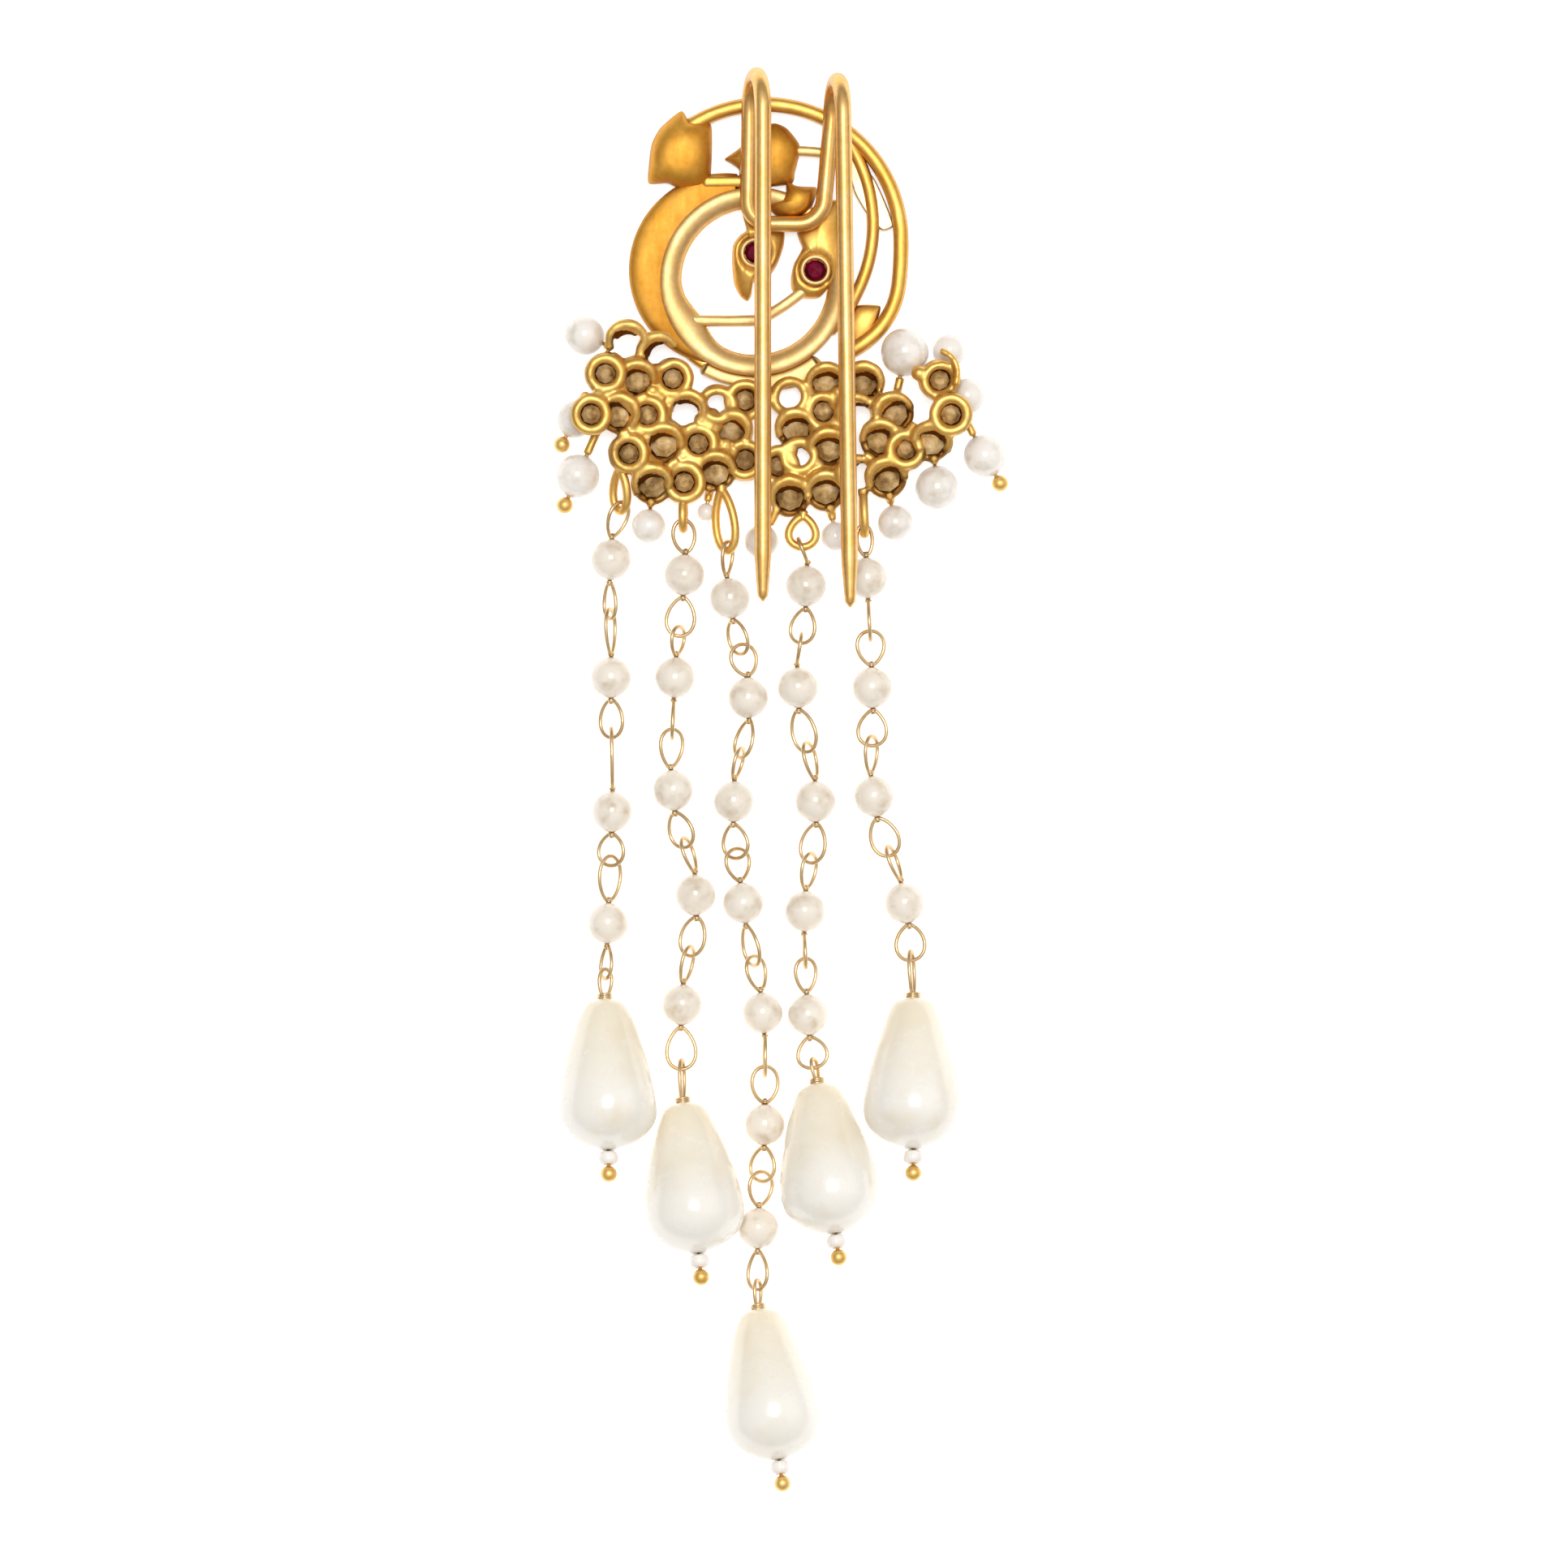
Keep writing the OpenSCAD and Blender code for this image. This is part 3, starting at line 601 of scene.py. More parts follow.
def dome(shape, outline, middle, low, edge, crown, kind=0, relief=None, tight=0.35):
    """A closed outline with a rounded edge, which rises to a crown over its middle.

    relief(x, y) is a shift of the crown's height there.
    """
    line = dense(outline, 6, tight)
    count = len(line)
    middle = Vector(middle)
    base = edge - DOME_EDGE
    shares = [0.0, 0.92, 1.0, 1.0]
    heights = [low, low, low + 0.18, base]
    for i in range(1, CROWN_RINGS + 1):
        share = cos(i / CROWN_RINGS * pi / 2) ** 0.9 if i < CROWN_RINGS else 0.0
        shares.append(share)
        heights.append(base + (crown - base) * (1 - share ** 4) ** 0.6 * (1 - 0.22 * share ** 2))
    for number in range(5):
        evened = [(heights[i - 1] + 2 * heights[i] + heights[i + 1]) / 4
                  for i in range(SKIRT_RINGS, len(heights) - 1)]
        heights = heights[:SKIRT_RINGS] + evened + heights[-1:]
    # The rings turn from the outline to an oval on their way up
    reach = [(p - middle).length for p in line]
    window = range(-count // 8, count // 8 + 1)
    oval = [sum(reach[(j + k) % count] for k in window) / (2 * (count // 8) + 1)
            for j in range(count)]
    points = []
    for ring_number, (share, height) in enumerate(zip(shares, heights)):
        on_crown = ring_number >= SKIRT_RINGS
        keep = share ** 3 if on_crown else 1.0
        for j, p in enumerate(line):
            spot = middle + (p - middle) * share * (keep + (1 - keep) * oval[j] / reach[j])
            z = height
            if on_crown and relief:
                z += relief(spot.x, spot.y)
            if on_crown:
                z += wobble(spot.x, spot.y, z, 0.6, 0.05)
            points.append(Vector((spot.x, spot.y, z)))
    shape.add(points, grid_faces(len(shares), count), kind)


def plate(shape, outline, low, high, soft):
    """A flat piece with rounded edges. Its outline runs clockwise."""
    line = dense(outline, 5, 0.3)
    count = len(line)
    steps = [step_at(line, i, True) for i in range(count)]
    outward = [Vector((-step.y, step.x)).normalized() for step in steps]
    levels = [(-soft, low), (0, low + soft), (0, high - soft),
              (-0.3 * soft, high - 0.3 * soft), (-soft, high)]
    points = []
    for offset, z in levels:
        for p, out in zip(line, outward):
            spot = p + out * offset
            points.append(Vector((spot.x, spot.y, z)))
    shape.add(points, grid_faces(len(levels), count) + end_faces(len(levels), count))


# Frame

RING_AT = (-2.6, 49.0)
RING_INNER = 7.2
RING_OUTER = 9.3
CRESCENT_AT = (-5.5, 50.2)
CRESCENT_R = 9.45
# The crescent's edge comes no nearer to the ring's centre than this
CRESCENT_LEAST = 8.6
OUTER_AT = (-1.6, 53.0)
OUTER_END_AT = (3.3, 49.8)
SECOND_AT = (-5.8, 54.6)
LEFT_EYE = (-2.5, 51.8)
RIGHT_EYE = (3.4, 50.1)
EYE_RIM_R = 1.3
EYE_RIM_Z = 1.95
SOCKET_R = 1.9
SOCKET_DEPTH = 0.75

LEAF = [
    (-13, 58.7), (-13, 60.4), (-12.7, 62.6), (-11.8, 64.2), (-9.8, 65.8), (-9, 64.8),
    (-7.7, 64.8), (-6.8, 64.2), (-6.9, 59.4), (-7.7, 58.4), (-9.9, 58.2), (-11.2, 58.7),
]
UPPER_BUD = [
    (-5.5, 61.1), (-4, 62.2), (-3, 63.4), (-1.8, 64.2), (-0.6, 64.6), (0.6, 64.1), (1.8, 62.6),
    (1.8, 61.4), (1.4, 59.8), (0.9, 58.6), (-3.8, 58.3), (-4.1, 60), (-5, 60.7),
]
LOWER_BUD = [
    (0.6, 58.9), (1.6, 58.4), (3.4, 58.3), (3.5, 57.6), (2.9, 56), (2.1, 55.3), (1, 55),
    (-0.2, 55.3), (-1, 56), (-1, 56.6), (0.2, 57), (0.5, 57.8),
]
LEFT_HEAD = [
    (-3.7, 55.9), (-1, 54.9), (0.3, 54.3), (0.3, 52.6), (-0.3, 50.8), (-1.1, 49.6), (-2.2, 49.1),
    (-2.8, 48.8), (-2.9, 47.7), (-3.3, 47.1), (-4, 47.6), (-4.6, 48.8), (-4.8, 50.8),
    (-4.7, 52.6), (-4, 53.6), (-3.4, 54.1),
]
RIGHT_HEAD = [
    (1.6, 54.3), (3.4, 55.4), (4.3, 56.8), (5.8, 56.8), (5.9, 52.8), (5.4, 49.2), (4.6, 48.3),
    (3.7, 47.4), (2.1, 47.4), (1.1, 48.2), (1, 49.4), (1.3, 50.8), (2.1, 52.2), (1.8, 53.1),
]
PERCH = [(-9.4, 45.15), (-2.6, 45.15), (-1.6, 45.5), (0.4, 46.7), (2.5, 48.3)]
ARM = [(1.2, 61.9), (4.4, 61.6), (6.9, 60.6)]
WEB = [
    (6.5, 60.9), (7.8, 60.9), (9.3, 59), (10.4, 56.6), (11.1, 54.5), (10, 54), (8.6, 55.4),
    (7.2, 57.8),
]
LOW_WEB = [(7.4, 46.6), (9.8, 46.6), (9.4, 44.9), (8.4, 43.4), (7.0, 42.2), (6.6, 44.4)]


def ring_inner(degrees):
    """The ring's inner edge, which runs a little inward at its lower left."""
    return RING_INNER - 0.9 * exp(-((degrees - 214) / 20) ** 2)


def crescent_outer(degrees):
    """How far the crescent's edge is from the ring's centre in a direction."""
    angle = radians(degrees)
    apart = Vector((CRESCENT_AT[0] - RING_AT[0], CRESCENT_AT[1] - RING_AT[1]))
    along = apart.dot(Vector((cos(angle), sin(angle))))
    square = along * along - apart.length_squared + CRESCENT_R ** 2
    return max(along + sqrt(max(0.0, square)), CRESCENT_LEAST)


def lower_outer(degrees):
    """The lower band's outer edge, which runs outward at its right end."""
    return 10.5 + 0.7 * max(0.0, min(1.0, (degrees - 262) / 30))


def shade_beside_ring(piece):
    """Painted shade where the crescent goes down beside the ring, most of all low on the left."""
    places = vectors(piece.data, "co") / MM
    away = np.hypot(places[:, 0] - RING_AT[0], places[:, 1] - RING_AT[1]) - RING_OUTER
    low = np.clip((RING_AT[1] + 4 - places[:, 1]) / 8, 0, 1)
    beside = np.clip(1 - away / 1.7, 0, 1) * (0.22 + 0.3 * low)
    marks = np.empty(len(places))
    layer = piece.data.attributes["painted_shade"].data
    layer.foreach_get("value", marks)
    layer.foreach_set("value", np.maximum(marks, beside))


def socket(center):
    """Keeps a head's crown low round its eye, so that the stone and its rim show."""
    def relief(x, y):
        return -SOCKET_DEPTH * max(0.0, 1 - (dist((x, y), center) / SOCKET_R) ** 4)

    return relief


ring = Shape()
band(ring, RING_AT, ring_inner, RING_OUTER, 0, 360, 0.1, 2.1, closed=True, square=4.5, bevel=0.9)
ring.build("ring", [RING_GOLD], steep_shade=0.7)

crescent = Shape()
band(crescent, RING_AT, 8.0, crescent_outer, 98, 262, 0.0, 1.78, square=2.8)
shade_beside_ring(crescent.build("crescent", [CRESCENT_GOLD], steep_shade=0.9))

outer_band = Shape()
outer_line = arc(OUTER_AT, 13.5, 124, -4, 0, 70) + arc(OUTER_END_AT, 8.5, -2, -68, 0, 22)
outer_line = relaxed(outer_line, 14)
ribbon(outer_band, outer_line, [1.5] * len(outer_line), 0.3, 2.0, square=2.4)
outer_band.build("outer_band", [SATIN], steep_shade=0.9)

second_band = Shape()
band(second_band, SECOND_AT, 14.275, 15.525, -46, 48, 0.2, 1.85, square=2.4)
band(second_band, RING_AT, 8.7, 10.1, 195, 250, 0.35, 1.45, square=2.6)
second_band.build("second_band", [SATIN], steep_shade=0.9)

lower_band = Shape()
band(lower_band, RING_AT, 9.25, lower_outer, 238, 310, 0.3, 1.7, square=3.4)
lower_band.build("lower_band", [RING_GOLD], steep_shade=0.9)

leaves = Shape()
dome(leaves, LEAF, (-10.1, 61.4), 0.1, 1.3, 3.25)
dome(leaves, UPPER_BUD, (-1.3, 61.2), 0.1, 1.2, 2.85)
dome(leaves, LOWER_BUD, (1.6, 56.9), 0.1, 1.3, 3.15)
leaves.build("leaf_and_buds", [LEAF_GOLD], steep_shade=0.8)

bars = Shape()
for corners, width, low, high in ((PERCH, 1.1, 0.5, 1.7), (ARM, 1.0, 0.6, 1.7)):
    line = relaxed(smooth_line(corners, 12), 3)
    ribbon(bars, line, [width] * len(line), low, high, square=2.6)
leaf_bar = [(-7.8 + 0.5 * k, 58.8) for k in range(10)]
ribbon(bars, leaf_bar, [1.3] * len(leaf_bar), 0.2, 1.9, 1)
bars.build("perch_and_bars", [RING_GOLD, SATIN], steep_shade=0.8)

webs = Shape()
plate(webs, WEB, 0.7, 1.35, 0.2)
dome(webs, LOW_WEB, (8.1, 44.6), 0.6, 1.0, 1.5, 1, tight=0.3)
webs.build("webs", [PLATE_GOLD_AND_GLARE, SATIN], steep_shade=0.4)

birds = Shape()
dome(birds, LEFT_HEAD, (-2.5, 51.6), 0.1, 1.1, 2.45, relief=socket(LEFT_EYE))
dome(birds, RIGHT_HEAD, (3.5, 51.2), 0.1, 1.1, 2.45, relief=socket(RIGHT_EYE))
for eye in (LEFT_EYE, RIGHT_EYE):
    rim = arc(eye, EYE_RIM_R, 0, 350, EYE_RIM_Z, 35)
    birds.add(*tube(rim, 0.24, 10, True), 1)
birds.build("bird_heads", [SATIN, RING_GOLD], steep_shade=0.8)

# Fork: one bent wire

FORK_R = 0.825
LIMB_Z = 2.5
PRONG_Z = 9.5
LEFT_TIP = (-1.75, 17.4, PRONG_Z)
LEFT_TOP = (-1.75, 65.47, PRONG_Z)
LEFT_BEND = (-3.05, 65.47, LIMB_Z)
RIGHT_BEND = (5.0, 64.95, LIMB_Z)
RIGHT_TOP = (6.1, 64.95, PRONG_Z)
RIGHT_TIP = (6.8, 16.8, PRONG_Z)
# Lengths of a prong's rounded end and of its taper
BLUNT = 0.5
TAPER = 4.0
BEND_STEPS = 18


def straight(start, end, count):
    return [Vector(start).lerp(Vector(end), i / count) for i in range(count + 1)]


def fork_bend(low, high):
    """A half turn in an upright plane from a limb's end to its prong."""
    low, high = Vector(low), Vector(high)
    middle = (low + high) / 2
    radius = (high - low).length / 2
    points = []
    for i in range(BEND_STEPS + 1):
        angle = pi * i / BEND_STEPS
        points.append(middle + (low - middle) * cos(angle) + Vector((0, radius, 0)) * sin(angle))
    return points


def fork_line():
    """The wire's centre from the left prong's tip to the right one's."""
    line = straight(LEFT_TIP, LEFT_TOP, 90)
    line += fork_bend(LEFT_BEND, LEFT_TOP)[::-1][1:]
    line += straight(LEFT_BEND, (-3.2, 56.8, LIMB_Z), 14)[1:]
    line += arc((-1.0, 56.8), 2.2, 180, 270, LIMB_Z, 12)[1:]
    line += arc((1.7, 57.2), 2.6, 270, 360, LIMB_Z, 12)
    line += straight((4.3, 57.2, LIMB_Z), RIGHT_BEND, 14)[1:]
    line += fork_bend(RIGHT_BEND, RIGHT_TOP)[1:]
    line += straight(RIGHT_TOP, RIGHT_TIP, 90)[1:]
    return line


def fork_radius(point):
    """Full thickness, drawn to a blunt point at each prong's end."""
    if point[2] < PRONG_Z - 0.01:
        return FORK_R
    tip = LEFT_TIP if point[0] < 2 else RIGHT_TIP
    away = (Vector(point) - Vector(tip)).length
    if away < BLUNT:
        return FORK_R * (0.12 + 0.5 * sqrt(away / BLUNT))
    return FORK_R * min(1.0, 0.62 + 0.38 * (away - BLUNT) / TAPER)


fork = Shape()
wire = fork_line()
fork.add(*tube(wire, [fork_radius(p) for p in wire], 24))
fork.build("fork_wire", [FORK_GOLD], steep_shade=0.45)

# Net: round rims, arched hoods and posts fused into one cast body

NET_LOW = 1.8
NET_BOW = 50.0
# How far above its middle the net's painted shade begins
NET_TOP = 0.62
COLLETS = [
    (-17.2, 39.8), (-10.6, 39.4), (-18.6, 35.8), (-13.1, 35.8), (-8.1, 33), (-3.5, 37.3),
    (-3.5, 31.4), (-9.5, 29.2), (-14.9, 32), (16.7, 35.8), (12.3, 32.4), (15.6, 39.2),
    (4.2, 36.2), (-0.2, 30.8),
]
OPEN_COLLETS = [(-6.2, 36.8), (1.8, 31.8), (0.9, 37.6)]
# x, y and the turn of each arch
ARCHES = [
    (-14.1, 39.3, 10), (-15.9, 35.9, -20), (-11.5, 33, 15), (-4.8, 34.4, -25), (-6.4, 30.3, 5),
    (-12.6, 29, 20), (4.5, 39, 0), (8.1, 39, -10), (1.5, 34.5, 10), (11.1, 36, 30),
    (9.8, 33.4, -10), (4.7, 32.6, 0), (4.4, 28.4, 0), (10.4, 29.6, 15), (14.8, 33.2, -20),
    (0.9, 27.8, 0),
]
OPEN_ARCHES = [
    (-9.2, 36.3, -10), (-15.1, 43, 10), (-12, 41.9, 40), (7.4, 36, 20), (7.5, 29.9, 60),
]
CELLS = [cell[:2] for cell in COLLETS + OPEN_COLLETS + ARCHES + OPEN_ARCHES]
# Cells nearer than this are soldered to each other
SOLDER_REACH = 4.9
# How far below the net's middle the ledge under a stone lies, and the ledge's thickness
LEDGE_DEPTH = 0.62
LEDGE_WIRE = 0.42
HOOD_STEPS = 18
LIP_STEPS = 12
# A small bead and a bent wire at the net's upper right
SIDE_BEAD = (13.6, 39.85)
SIDE_WIRE = [(15.7, 42.1), (16.8, 41.4), (17.35, 40.1), (17.2, 38.7)]


def net_z(x):
    """The height of the net's middle, which bows up towards its sides."""
    return NET_LOW + x * x / (2 * NET_BOW)


def uneven(x, y, number):
    """Three small numbers that make a cell larger, more tilted and thicker than others."""
    return [noise.noise(Vector((x * scale, y * scale, number))) for scale in (0.7, 1.1, 1.7)]


def add_collet(shape, x, y, number, has_stone):
    """A round rim, a second one below it and a ledge under the stone."""
    z = net_z(x)
    turn = 37 * number
    big, lean, thick = uneven(x, y, number)
    shape.add(*torus((x, y, z + 0.34), 1.56 + 0.14 * big, 0.50 + 0.12 * thick, 5 + 14 * lean,
                     turn, 0.97 + 0.1 * thick))
    shape.add(*torus((x, y, z - 0.25), 1.60, 0.52, 0, turn))
    if has_stone:
        shape.add(*torus((x, y, z - LEDGE_DEPTH), 1.22, LEDGE_WIRE))


def add_arch(shape, x, y, turn, number, has_stone):
    """A low arc, a raised hood over it, a lip under the hood and a ledge under the stone."""
    z = net_z(x)
    shape.add(*tube(arc((x, y - 0.05), 1.76, turn - 15, turn + 195, z - 0.28, 16), 0.42, 12))
    big, lean, thick = uneven(x, y, number)
    if has_stone:
        shape.add(*torus((x, y, z - LEDGE_DEPTH), 1.62, LEDGE_WIRE))
    hood = []
    radii = []
    reach = 1.72 + 0.16 * big
    for k in range(HOOD_STEPS + 1):
        degrees = -20 + 220 * k / HOOD_STEPS
        angle = radians(degrees + turn + 12 * lean)
        rise = 0.32 + 0.5 * sin(radians(degrees))
        hood.append((x + reach * cos(angle), y + (reach - 0.08) * sin(angle), z + rise))
        radii.append(0.34 + 0.06 * thick + 0.2 * sin(pi * k / HOOD_STEPS))
    shape.add(*tube(hood, radii, 12))
    lip = arc((x, y), 1.08, turn + 22, turn + 158, z + 0.2, LIP_STEPS)
    radii = [0.22 + 0.26 * sin(pi * k / LIP_STEPS) for k in range(LIP_STEPS + 1)]
    shape.add(*tube(lip, radii, 10))


def add_solder(shape):
    """A short bar between each two neighbouring cells and a bead between each three."""
    linked = [(a, b) for a, b in combinations(CELLS, 2) if dist(a, b) < SOLDER_REACH]
    for a, b in linked:
        middle = ((a[0] + b[0]) / 2, (a[1] + b[1]) / 2)
        along = Vector((a[0] - b[0], a[1] - b[1], 0)).normalized() * 0.5
        across = Vector((-along.y, along.x, 0)) * 0.9
        spot = Vector((*middle, net_z(middle[0]) + 0.3))
        shape.add(*tube([spot - across, spot + across], 0.46, 10))
    for a, b, c in combinations(CELLS, 3):
        if (a, b) in linked and (b, c) in linked and (a, c) in linked:
            x = (a[0] + b[0] + c[0]) / 3
            y = (a[1] + b[1] + c[1]) / 3
            shape.add(*ball(Vector((x, y, net_z(x) + 0.02)), 0.72, Matrix(), 14, 8))


def fuse(piece):
    """Makes one smooth closed body of a piece's overlapping parts."""
    remesh = piece.modifiers.new("fuse", "REMESH")
    remesh.mode = "VOXEL"
    remesh.voxel_size = 0.155 * MM
    remesh.use_smooth_shade = True
    relax = piece.modifiers.new("relax", "SMOOTH")
    relax.factor = 0.6
    relax.iterations = 4
    graph = bpy.context.evaluated_depsgraph_get()
    made = bpy.data.meshes.new_from_object(piece.evaluated_get(graph))
    made.name = piece.name
    piece.modifiers.clear()
    piece.data = made


def weather(mesh):
    """Dents the net's skin a little; marks painted shade in hollows, painted shadow under hoods.
    """
    places = vectors(mesh, "co") / MM
    normals = vectors(mesh, "normal")
    # Painted shade, deeper below the net's top and near each cell's middle
    depth = (net_z(places[:, 0]) + NET_TOP - places[:, 2]) / 0.9
    away = np.linalg.norm(places[:, None, :2] - np.array(CELLS), axis=2).min(axis=1)
    deep = np.clip(depth, 0, 1) ** 1.3 * np.clip((2.4 - away) / 0.8, 0.15, 1)
    # Painted shadow under each hood and painted shade low in each arch
    for x, y, turn in ARCHES + OPEN_ARCHES:
        angle = radians(turn)
        off = places[:, :2] - (x, y)
        up = off[:, 1] * cos(angle) - off[:, 0] * sin(angle)
        reach = np.hypot(off[:, 0], off[:, 1])
        under_hood = (reach < 1.44) & (up > 0.1) & (depth > -0.12)
        low_side = (reach < 2.1) & (up < -0.3) & (depth > 0.35)
        deep = np.where(under_hood, 1.0, deep)
        deep = np.where(low_side, np.maximum(deep, 0.7), deep)
    dents = np.array([noise.noise(Vector(p) * 1.1) for p in places])
    places += normals * dents[:, None] * 0.05
    mesh.vertices.foreach_set("co", (places * MM).ravel())
    mark(mesh, "painted_shade", deep)
    mesh.update()


net = Shape()
for number, (x, y) in enumerate(COLLETS + OPEN_COLLETS):
    add_collet(net, x, y, number, number < len(COLLETS))
for number, (x, y, turn) in enumerate(ARCHES + OPEN_ARCHES):
    add_arch(net, x, y, turn, number + 50, number < len(ARCHES))
net.add(*ball(Vector((*SIDE_BEAD, net_z(SIDE_BEAD[0]) + 0.75)), 0.8, Matrix(), 18, 10))
net.add(*tube(smooth_line([(x, y, net_z(x) + 0.45) for x, y in SIDE_WIRE], 6), 0.34, 10))
add_solder(net)
for x, y, radius, post_x, post_y, ball_radius in FRINGE:
    post = [(post_x, post_y, radius - POST_R),
            (post_x, post_y, max(net_z(post_x), radius + POST_R))]
    net.add(*tube(post, POST_R, 12))
    root = Vector((post_x, post_y, radius))
    center = Vector((x, y, radius))
    stub = (center - root).normalized() * (radius + 0.15)
    net.add(*tube([root, center - stub], 0.44, 12))
for root, tip, width, turn in HOOKS:
    way = (Vector(tip) - Vector(root)).normalized()
    net.add(*tube([Vector(root) - way * 0.6, Vector(root) + way * 0.3], 0.52, 12))
net_piece = net.build("net", [NET_GOLD])
fuse(net_piece)
weather(net_piece.data)

# Strands: wires, pearls and drops

# Where the seed bead begins and the ball's centre lies, from a drop's narrow end
SEED_AT = DROP_LENGTH + BEAD_GAP
BALL_AT = SEED_AT + SEED_LENGTH + BEAD_GAP + BALL_R
# The height of a drop's narrow end when its belly touches the floor
DROP_LIFT = max(DROP_R * radius * cos(DROP_RISE) - DROP_LENGTH * place * sin(DROP_RISE)
                for radius, place in DROP_PROFILE)
# How far an eye's loop begins behind its pin's end, and how far the pin goes into the loop
EYE_START = -0.75 * NECK
PIN_PAST = 0.1


def teardrop(length, width, flare, count, lean):
    """A closed loop of wire from its neck at the origin to x = length.

    flare is how slim its neck is, and lean how far its two sides part in height.
    """
    line = []
    for i in range(count):
        angle = 2 * pi * (i + 0.5) / count
        line.append((length * (1 - cos(angle)) / 2, sin(angle) * sin(angle / 2) ** flare))
    widest = max(abs(y) for x, y in line)
    loop = []
    for x, y in line:
        rise = lean * sin(pi * x / length) * (1 if y > 0 else -1)
        loop.append(Vector((x, y / widest * width / 2, rise)))
    return loop


def coil(start, end, radius, turns, count):
    """Points of a coil about +X, with a count of points in each turn."""
    total = int(turns * count)
    points = []
    for i in range(total + 1):
        angle = 2 * pi * i / count
        points.append(Vector((start + (end - start) * i / total,
                              radius * cos(angle), radius * sin(angle))))
    return points


def add_eye(shape, matrix, length, width, number):
    """An eye on the end of a pin, with the wire's tail wrapped round its neck."""
    flare = 0.2 + 0.35 * abs(sin(number * 2.3))
    loop = teardrop(length + 0.05 - EYE_START, width - 2 * PIN_R, flare, 40, 0.07)
    loop = [p + Vector((EYE_START, 0, 0)) for p in loop]
    shape.add(*tube([matrix @ p for p in loop], PIN_R * 0.95, 10, True))
    wraps = coil(EYE_START, EYE_START + 0.22, 0.26, 1.6, 10)
    shape.add(*tube([matrix @ p for p in wraps], PIN_R * 0.55, 6))


def add_pearl(shape, center, direction, radius, number, sides, rings):
    """A drilled pearl, a little out of round, with its bore along a direction."""
    start = asin(min(1.0, BORE_R / radius))
    mouth = radius * cos(start)
    profile = [(-mouth + 0.5, BORE_R * 0.9), (-mouth + 0.08, BORE_R * 0.92)]
    for i in range(rings + 1):
        angle = start + (pi - 2 * start) * i / rings
        profile.append((-radius * cos(angle), radius * sin(angle)))
    profile += [(mouth - 0.08, BORE_R * 0.92), (mouth - 0.5, BORE_R * 0.9)]

    def bulge(p):
        place = Vector((p.x * 0.42 + number * 7.1, p.y * 0.42 - number * 3.3, p.z * 0.42))
        return 0.035 * noise.noise(place) - 0.02

    shape.add(*lathe(profile, sides, aimed(center, direction), bulge, True))


def add_drop(shape, matrix, number):
    """A drilled pearl drop, a little out of round, from its narrow end along +X."""
    outline = [(DROP_LENGTH * place, DROP_R * radius) for radius, place in DROP_PROFILE]
    profile = [(0.5, BORE_R), (0.12, BORE_R)]
    profile += smooth_line(outline, 3)
    profile += [(DROP_LENGTH - 0.1, BORE_R), (DROP_LENGTH - 0.6, BORE_R)]

    def bulge(p):
        place = Vector((p.x * 0.16 + number * 5.7, p.y * 0.2, p.z * 0.2))
        return 0.10 * noise.noise(place) - 0.06

    shape.add(*lathe(profile, 72, matrix, bulge, True))


def mark_narrow(mesh, top, direction):
    """Marks how near each point of a drop is to its narrow end."""
    along = (vectors(mesh, "co") / MM - np.array(top)) @ np.array(direction)
    mark(mesh, "narrow", 0.75 * np.clip(1 - along / (0.7 * DROP_LENGTH), 0, 1))


def heading(turn):
    """A drop's axis from its narrow end to its wide end, which lies higher."""
    angle = radians(turn)
    return Vector((cos(DROP_RISE) * cos(angle), cos(DROP_RISE) * sin(angle), sin(DROP_RISE)))


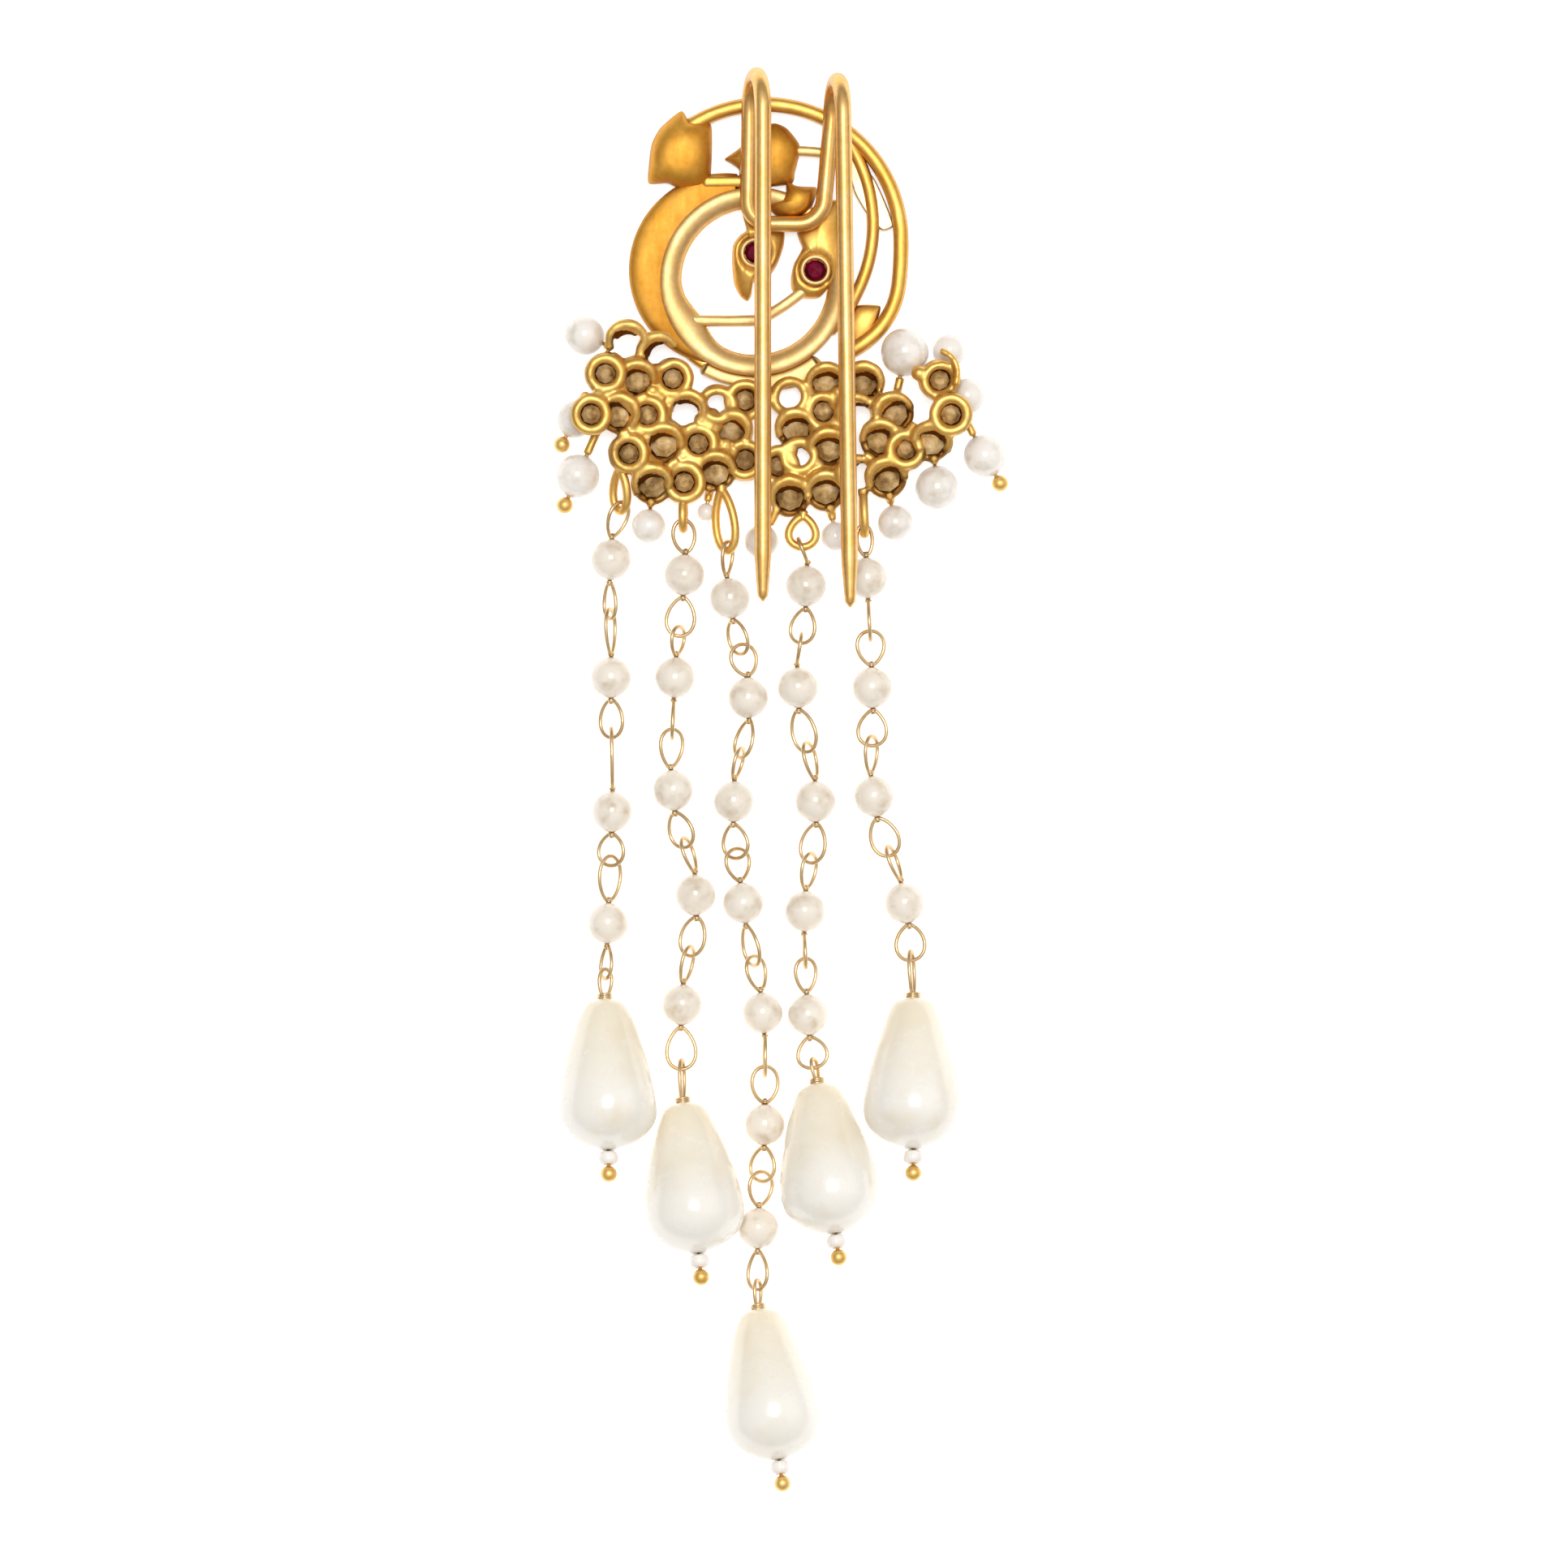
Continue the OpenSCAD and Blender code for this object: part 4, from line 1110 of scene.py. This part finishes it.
def build_strand(number, places, links, hook_tip, drop_turn):
    """The pearls, the wires and the drop of one strand, counted from 0."""
    last = len(places) - 1
    spots = [hook_tip]
    spots += [Vector((x, y, PEARL_R)) for x, y in places[1:-1]]
    spots.append(Vector((*places[-1], DROP_LIFT)))
    ways = [None]
    ways += [(spots[i + 1] - spots[i - 1]).normalized() for i in range(1, last)]
    ways.append(heading(drop_turn))
    # The ends of each bead's wire, between which its pin runs
    uppers = [None]
    lowers = [hook_tip]
    for i in range(1, last):
        uppers.append(spots[i] - ways[i] * (PEARL_R + NECK))
        lowers.append(spots[i] + ways[i] * (PEARL_R + NECK))
    uppers.append(spots[last] - ways[last] * NECK)

    pearls = Shape()
    wires = Shape()
    for i in range(1, last + 1):
        crossing, upper_width, upper_turn, lower_width, lower_turn = links[i - 1]
        to_next = lowers[i - 1] - uppers[i]
        length = (1 - crossing) * to_next.length + EYE_LAP / 2
        if i == 1:
            length = to_next.length + HOOK_R + PIN_R + HOOK_SLACK
        far = spots[i] + ways[i] * BALL_AT if i == last else lowers[i] + ways[i] * PIN_PAST
        wires.add(*tube([uppers[i] - ways[i] * PIN_PAST, far], PIN_R, 10))
        add_eye(wires, aimed(uppers[i], to_next, lower_turn), length, lower_width,
                number * 10 + (9 if i == last else i))
        if i < last:
            crossing, upper_width, upper_turn, lower_width, lower_turn = links[i]
            to_next = uppers[i + 1] - lowers[i]
            length = crossing * to_next.length + EYE_LAP / 2
            add_eye(wires, aimed(lowers[i], to_next, upper_turn), length, upper_width,
                    number * 10 + i + 5)
            add_pearl(pearls, spots[i], ways[i], PEARL_R, number * 10 + i, 40, 26)
    pearls.build(f"pearls_on_strand_{number + 1}", [STRAND_PEARL],
                 f"strand_{number + 1}_pearls")

    top = spots[last]
    along_drop = aimed(top, ways[last])
    wires.add(*ball(top + ways[last] * BALL_AT, BALL_R, along_drop), 1)
    wraps = coil(-0.5, -0.06, 0.62, 2.4, 14)
    wires.add(*tube([along_drop @ p for p in wraps], 0.15, 6))
    wires.build(f"wires_on_strand_{number + 1}", [WIRE_GOLD, BALL_GOLD],
                f"strand_{number + 1}_wires")

    drop = Shape()
    add_drop(drop, along_drop, number)
    piece = drop.build(f"pearl_drop_{number + 1}", [DROP_CREAM], f"drop_{number + 1}")
    mark_narrow(piece.data, top, ways[last])


for number, places in enumerate(STRANDS):
    build_strand(number, places, LINKS[number], Vector(HOOKS[number][1]), DROP_TURNS[number])

half = SEED_LENGTH / 2
profile = [(SEED_AT + SEED_BORE_END, BORE_R)]
for i in range(SEED_RINGS):
    angle = pi * (0.5 + i) / SEED_RINGS
    profile.append((SEED_AT + half - half * cos(angle) * 0.98,
                    BORE_R + (SEED_R - BORE_R) * sin(angle) ** 0.6))
profile.append((SEED_AT + SEED_LENGTH - SEED_BORE_END, BORE_R))
seeds = Shape()
for places, turn in zip(STRANDS, DROP_TURNS):
    top = Vector((*places[-1], DROP_LIFT))
    seeds.add(*lathe(profile, 28, aimed(top, heading(turn)), None, True))
seeds.build("small_seed_beads", [SEED_WHITE], "seed_beads")

# Hooks and the net's pearls

hooks = Shape()
fringe = Shape()
for root, tip, width, turn in HOOKS:
    way = Vector(tip) - Vector(root)
    loop = teardrop(way.length, width - 2 * HOOK_R, 0.5, 44, 0.1)
    matrix = aimed(root, way, turn)
    hooks.add(*tube([matrix @ p for p in loop], HOOK_R, 12, True))
for number, (x, y, radius, post_x, post_y, ball_radius) in enumerate(FRINGE):
    center = Vector((x, y, radius))
    start = Vector((post_x, post_y, radius))
    way = (center - start).normalized()
    past = radius + BEAD_GAP + ball_radius if ball_radius else radius / 2
    hooks.add(*tube([start, center + way * past], PIN_R, 10), 1)
    if ball_radius:
        hooks.add(*ball(center + way * past, ball_radius, aimed(center, way)), 2)
    add_pearl(fringe, center, center - start, radius, 60 + number, 44, 30)
hooks.build("hooks_and_fringe_pins", [NET_GOLD, WIRE_GOLD, BALL_GOLD])
fringe.build("pearls_on_fringe", [FRINGE_PEARL], "fringe_pearls")

# The cut stones stay as they are and get their finish
for node, material in (("ruby_eye_left", RUBY_RED), ("ruby_eye_right", RUBY_RED),
                       ("net_stones", STONE_BROWN)):
    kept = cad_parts[node]
    kept.data.materials.clear()
    kept.data.materials.append(material)

# Surface, light and camera, in metres

FLOOR_HALF = 1.5
FLOOR_Z = -0.00003
CAMERA_AT = (0.00032, -0.00048, 1.2)
# The width that the picture shows
VIEW_WIDTH = 0.15456
SENSOR_WIDTH = 36


def softbox(name, place, size, watts):
    """A square lamp that looks at the origin."""
    data = bpy.data.lights.new(name, "AREA")
    data.size = size
    data.energy = watts
    lamp = new_object(name, data)
    lamp.location = place
    lamp.rotation_euler = (Vector((0, 0, 0)) - Vector(place)).to_track_quat("-Z", "Y").to_euler()


floor = bpy.data.meshes.new("floor")
floor.from_pydata([(x * FLOOR_HALF, y * FLOOR_HALF, FLOOR_Z)
                   for x, y in ((-1, -1), (1, -1), (1, 1), (-1, 1))], [], [(0, 1, 2, 3)])
new_object("floor", floor)
white, tree, shader = node_tree("floor_white")
set_inputs(tree, shader, {"Base Color": (0.93, 0.93, 0.93, 1), "Roughness": 0.8,
                          "Emission Color": (1, 1, 1, 1), "Emission Strength": 0.6})
floor.materials.append(white)

world = bpy.data.worlds.new("studio")
scene.world = world
world.use_nodes = True
sky = world.node_tree
direction = sky.nodes.new("ShaderNodeTexCoord").outputs["Generated"]
upward = new_node(sky, "ShaderNodeSeparateXYZ", {"Vector": direction})
tent = ramp(sky, upward.outputs["Z"], [(0.0, (0.16, 0.15, 0.14)), (0.35, (0.40, 0.385, 0.37)),
                                       (0.72, (0.80, 0.79, 0.77)), (1.0, (1.0, 0.99, 0.97))])
set_inputs(sky, sky.nodes["Background"], {"Color": tent, "Strength": 0.8})

softbox("softbox_above", (0.02, 0.24, 1.28), 0.42, 6.4)
softbox("softbox_side", (0.7, 0.2, 0.7), 0.8, 1.0)
scene.view_settings.view_transform = "Standard"

camera_data = bpy.data.cameras.new("camera")
camera_data.sensor_width = SENSOR_WIDTH
camera_data.lens = CAMERA_AT[2] * SENSOR_WIDTH / VIEW_WIDTH
camera_data.clip_start = 0.01
camera = new_object("camera", camera_data)
camera.location = CAMERA_AT
scene.camera = camera
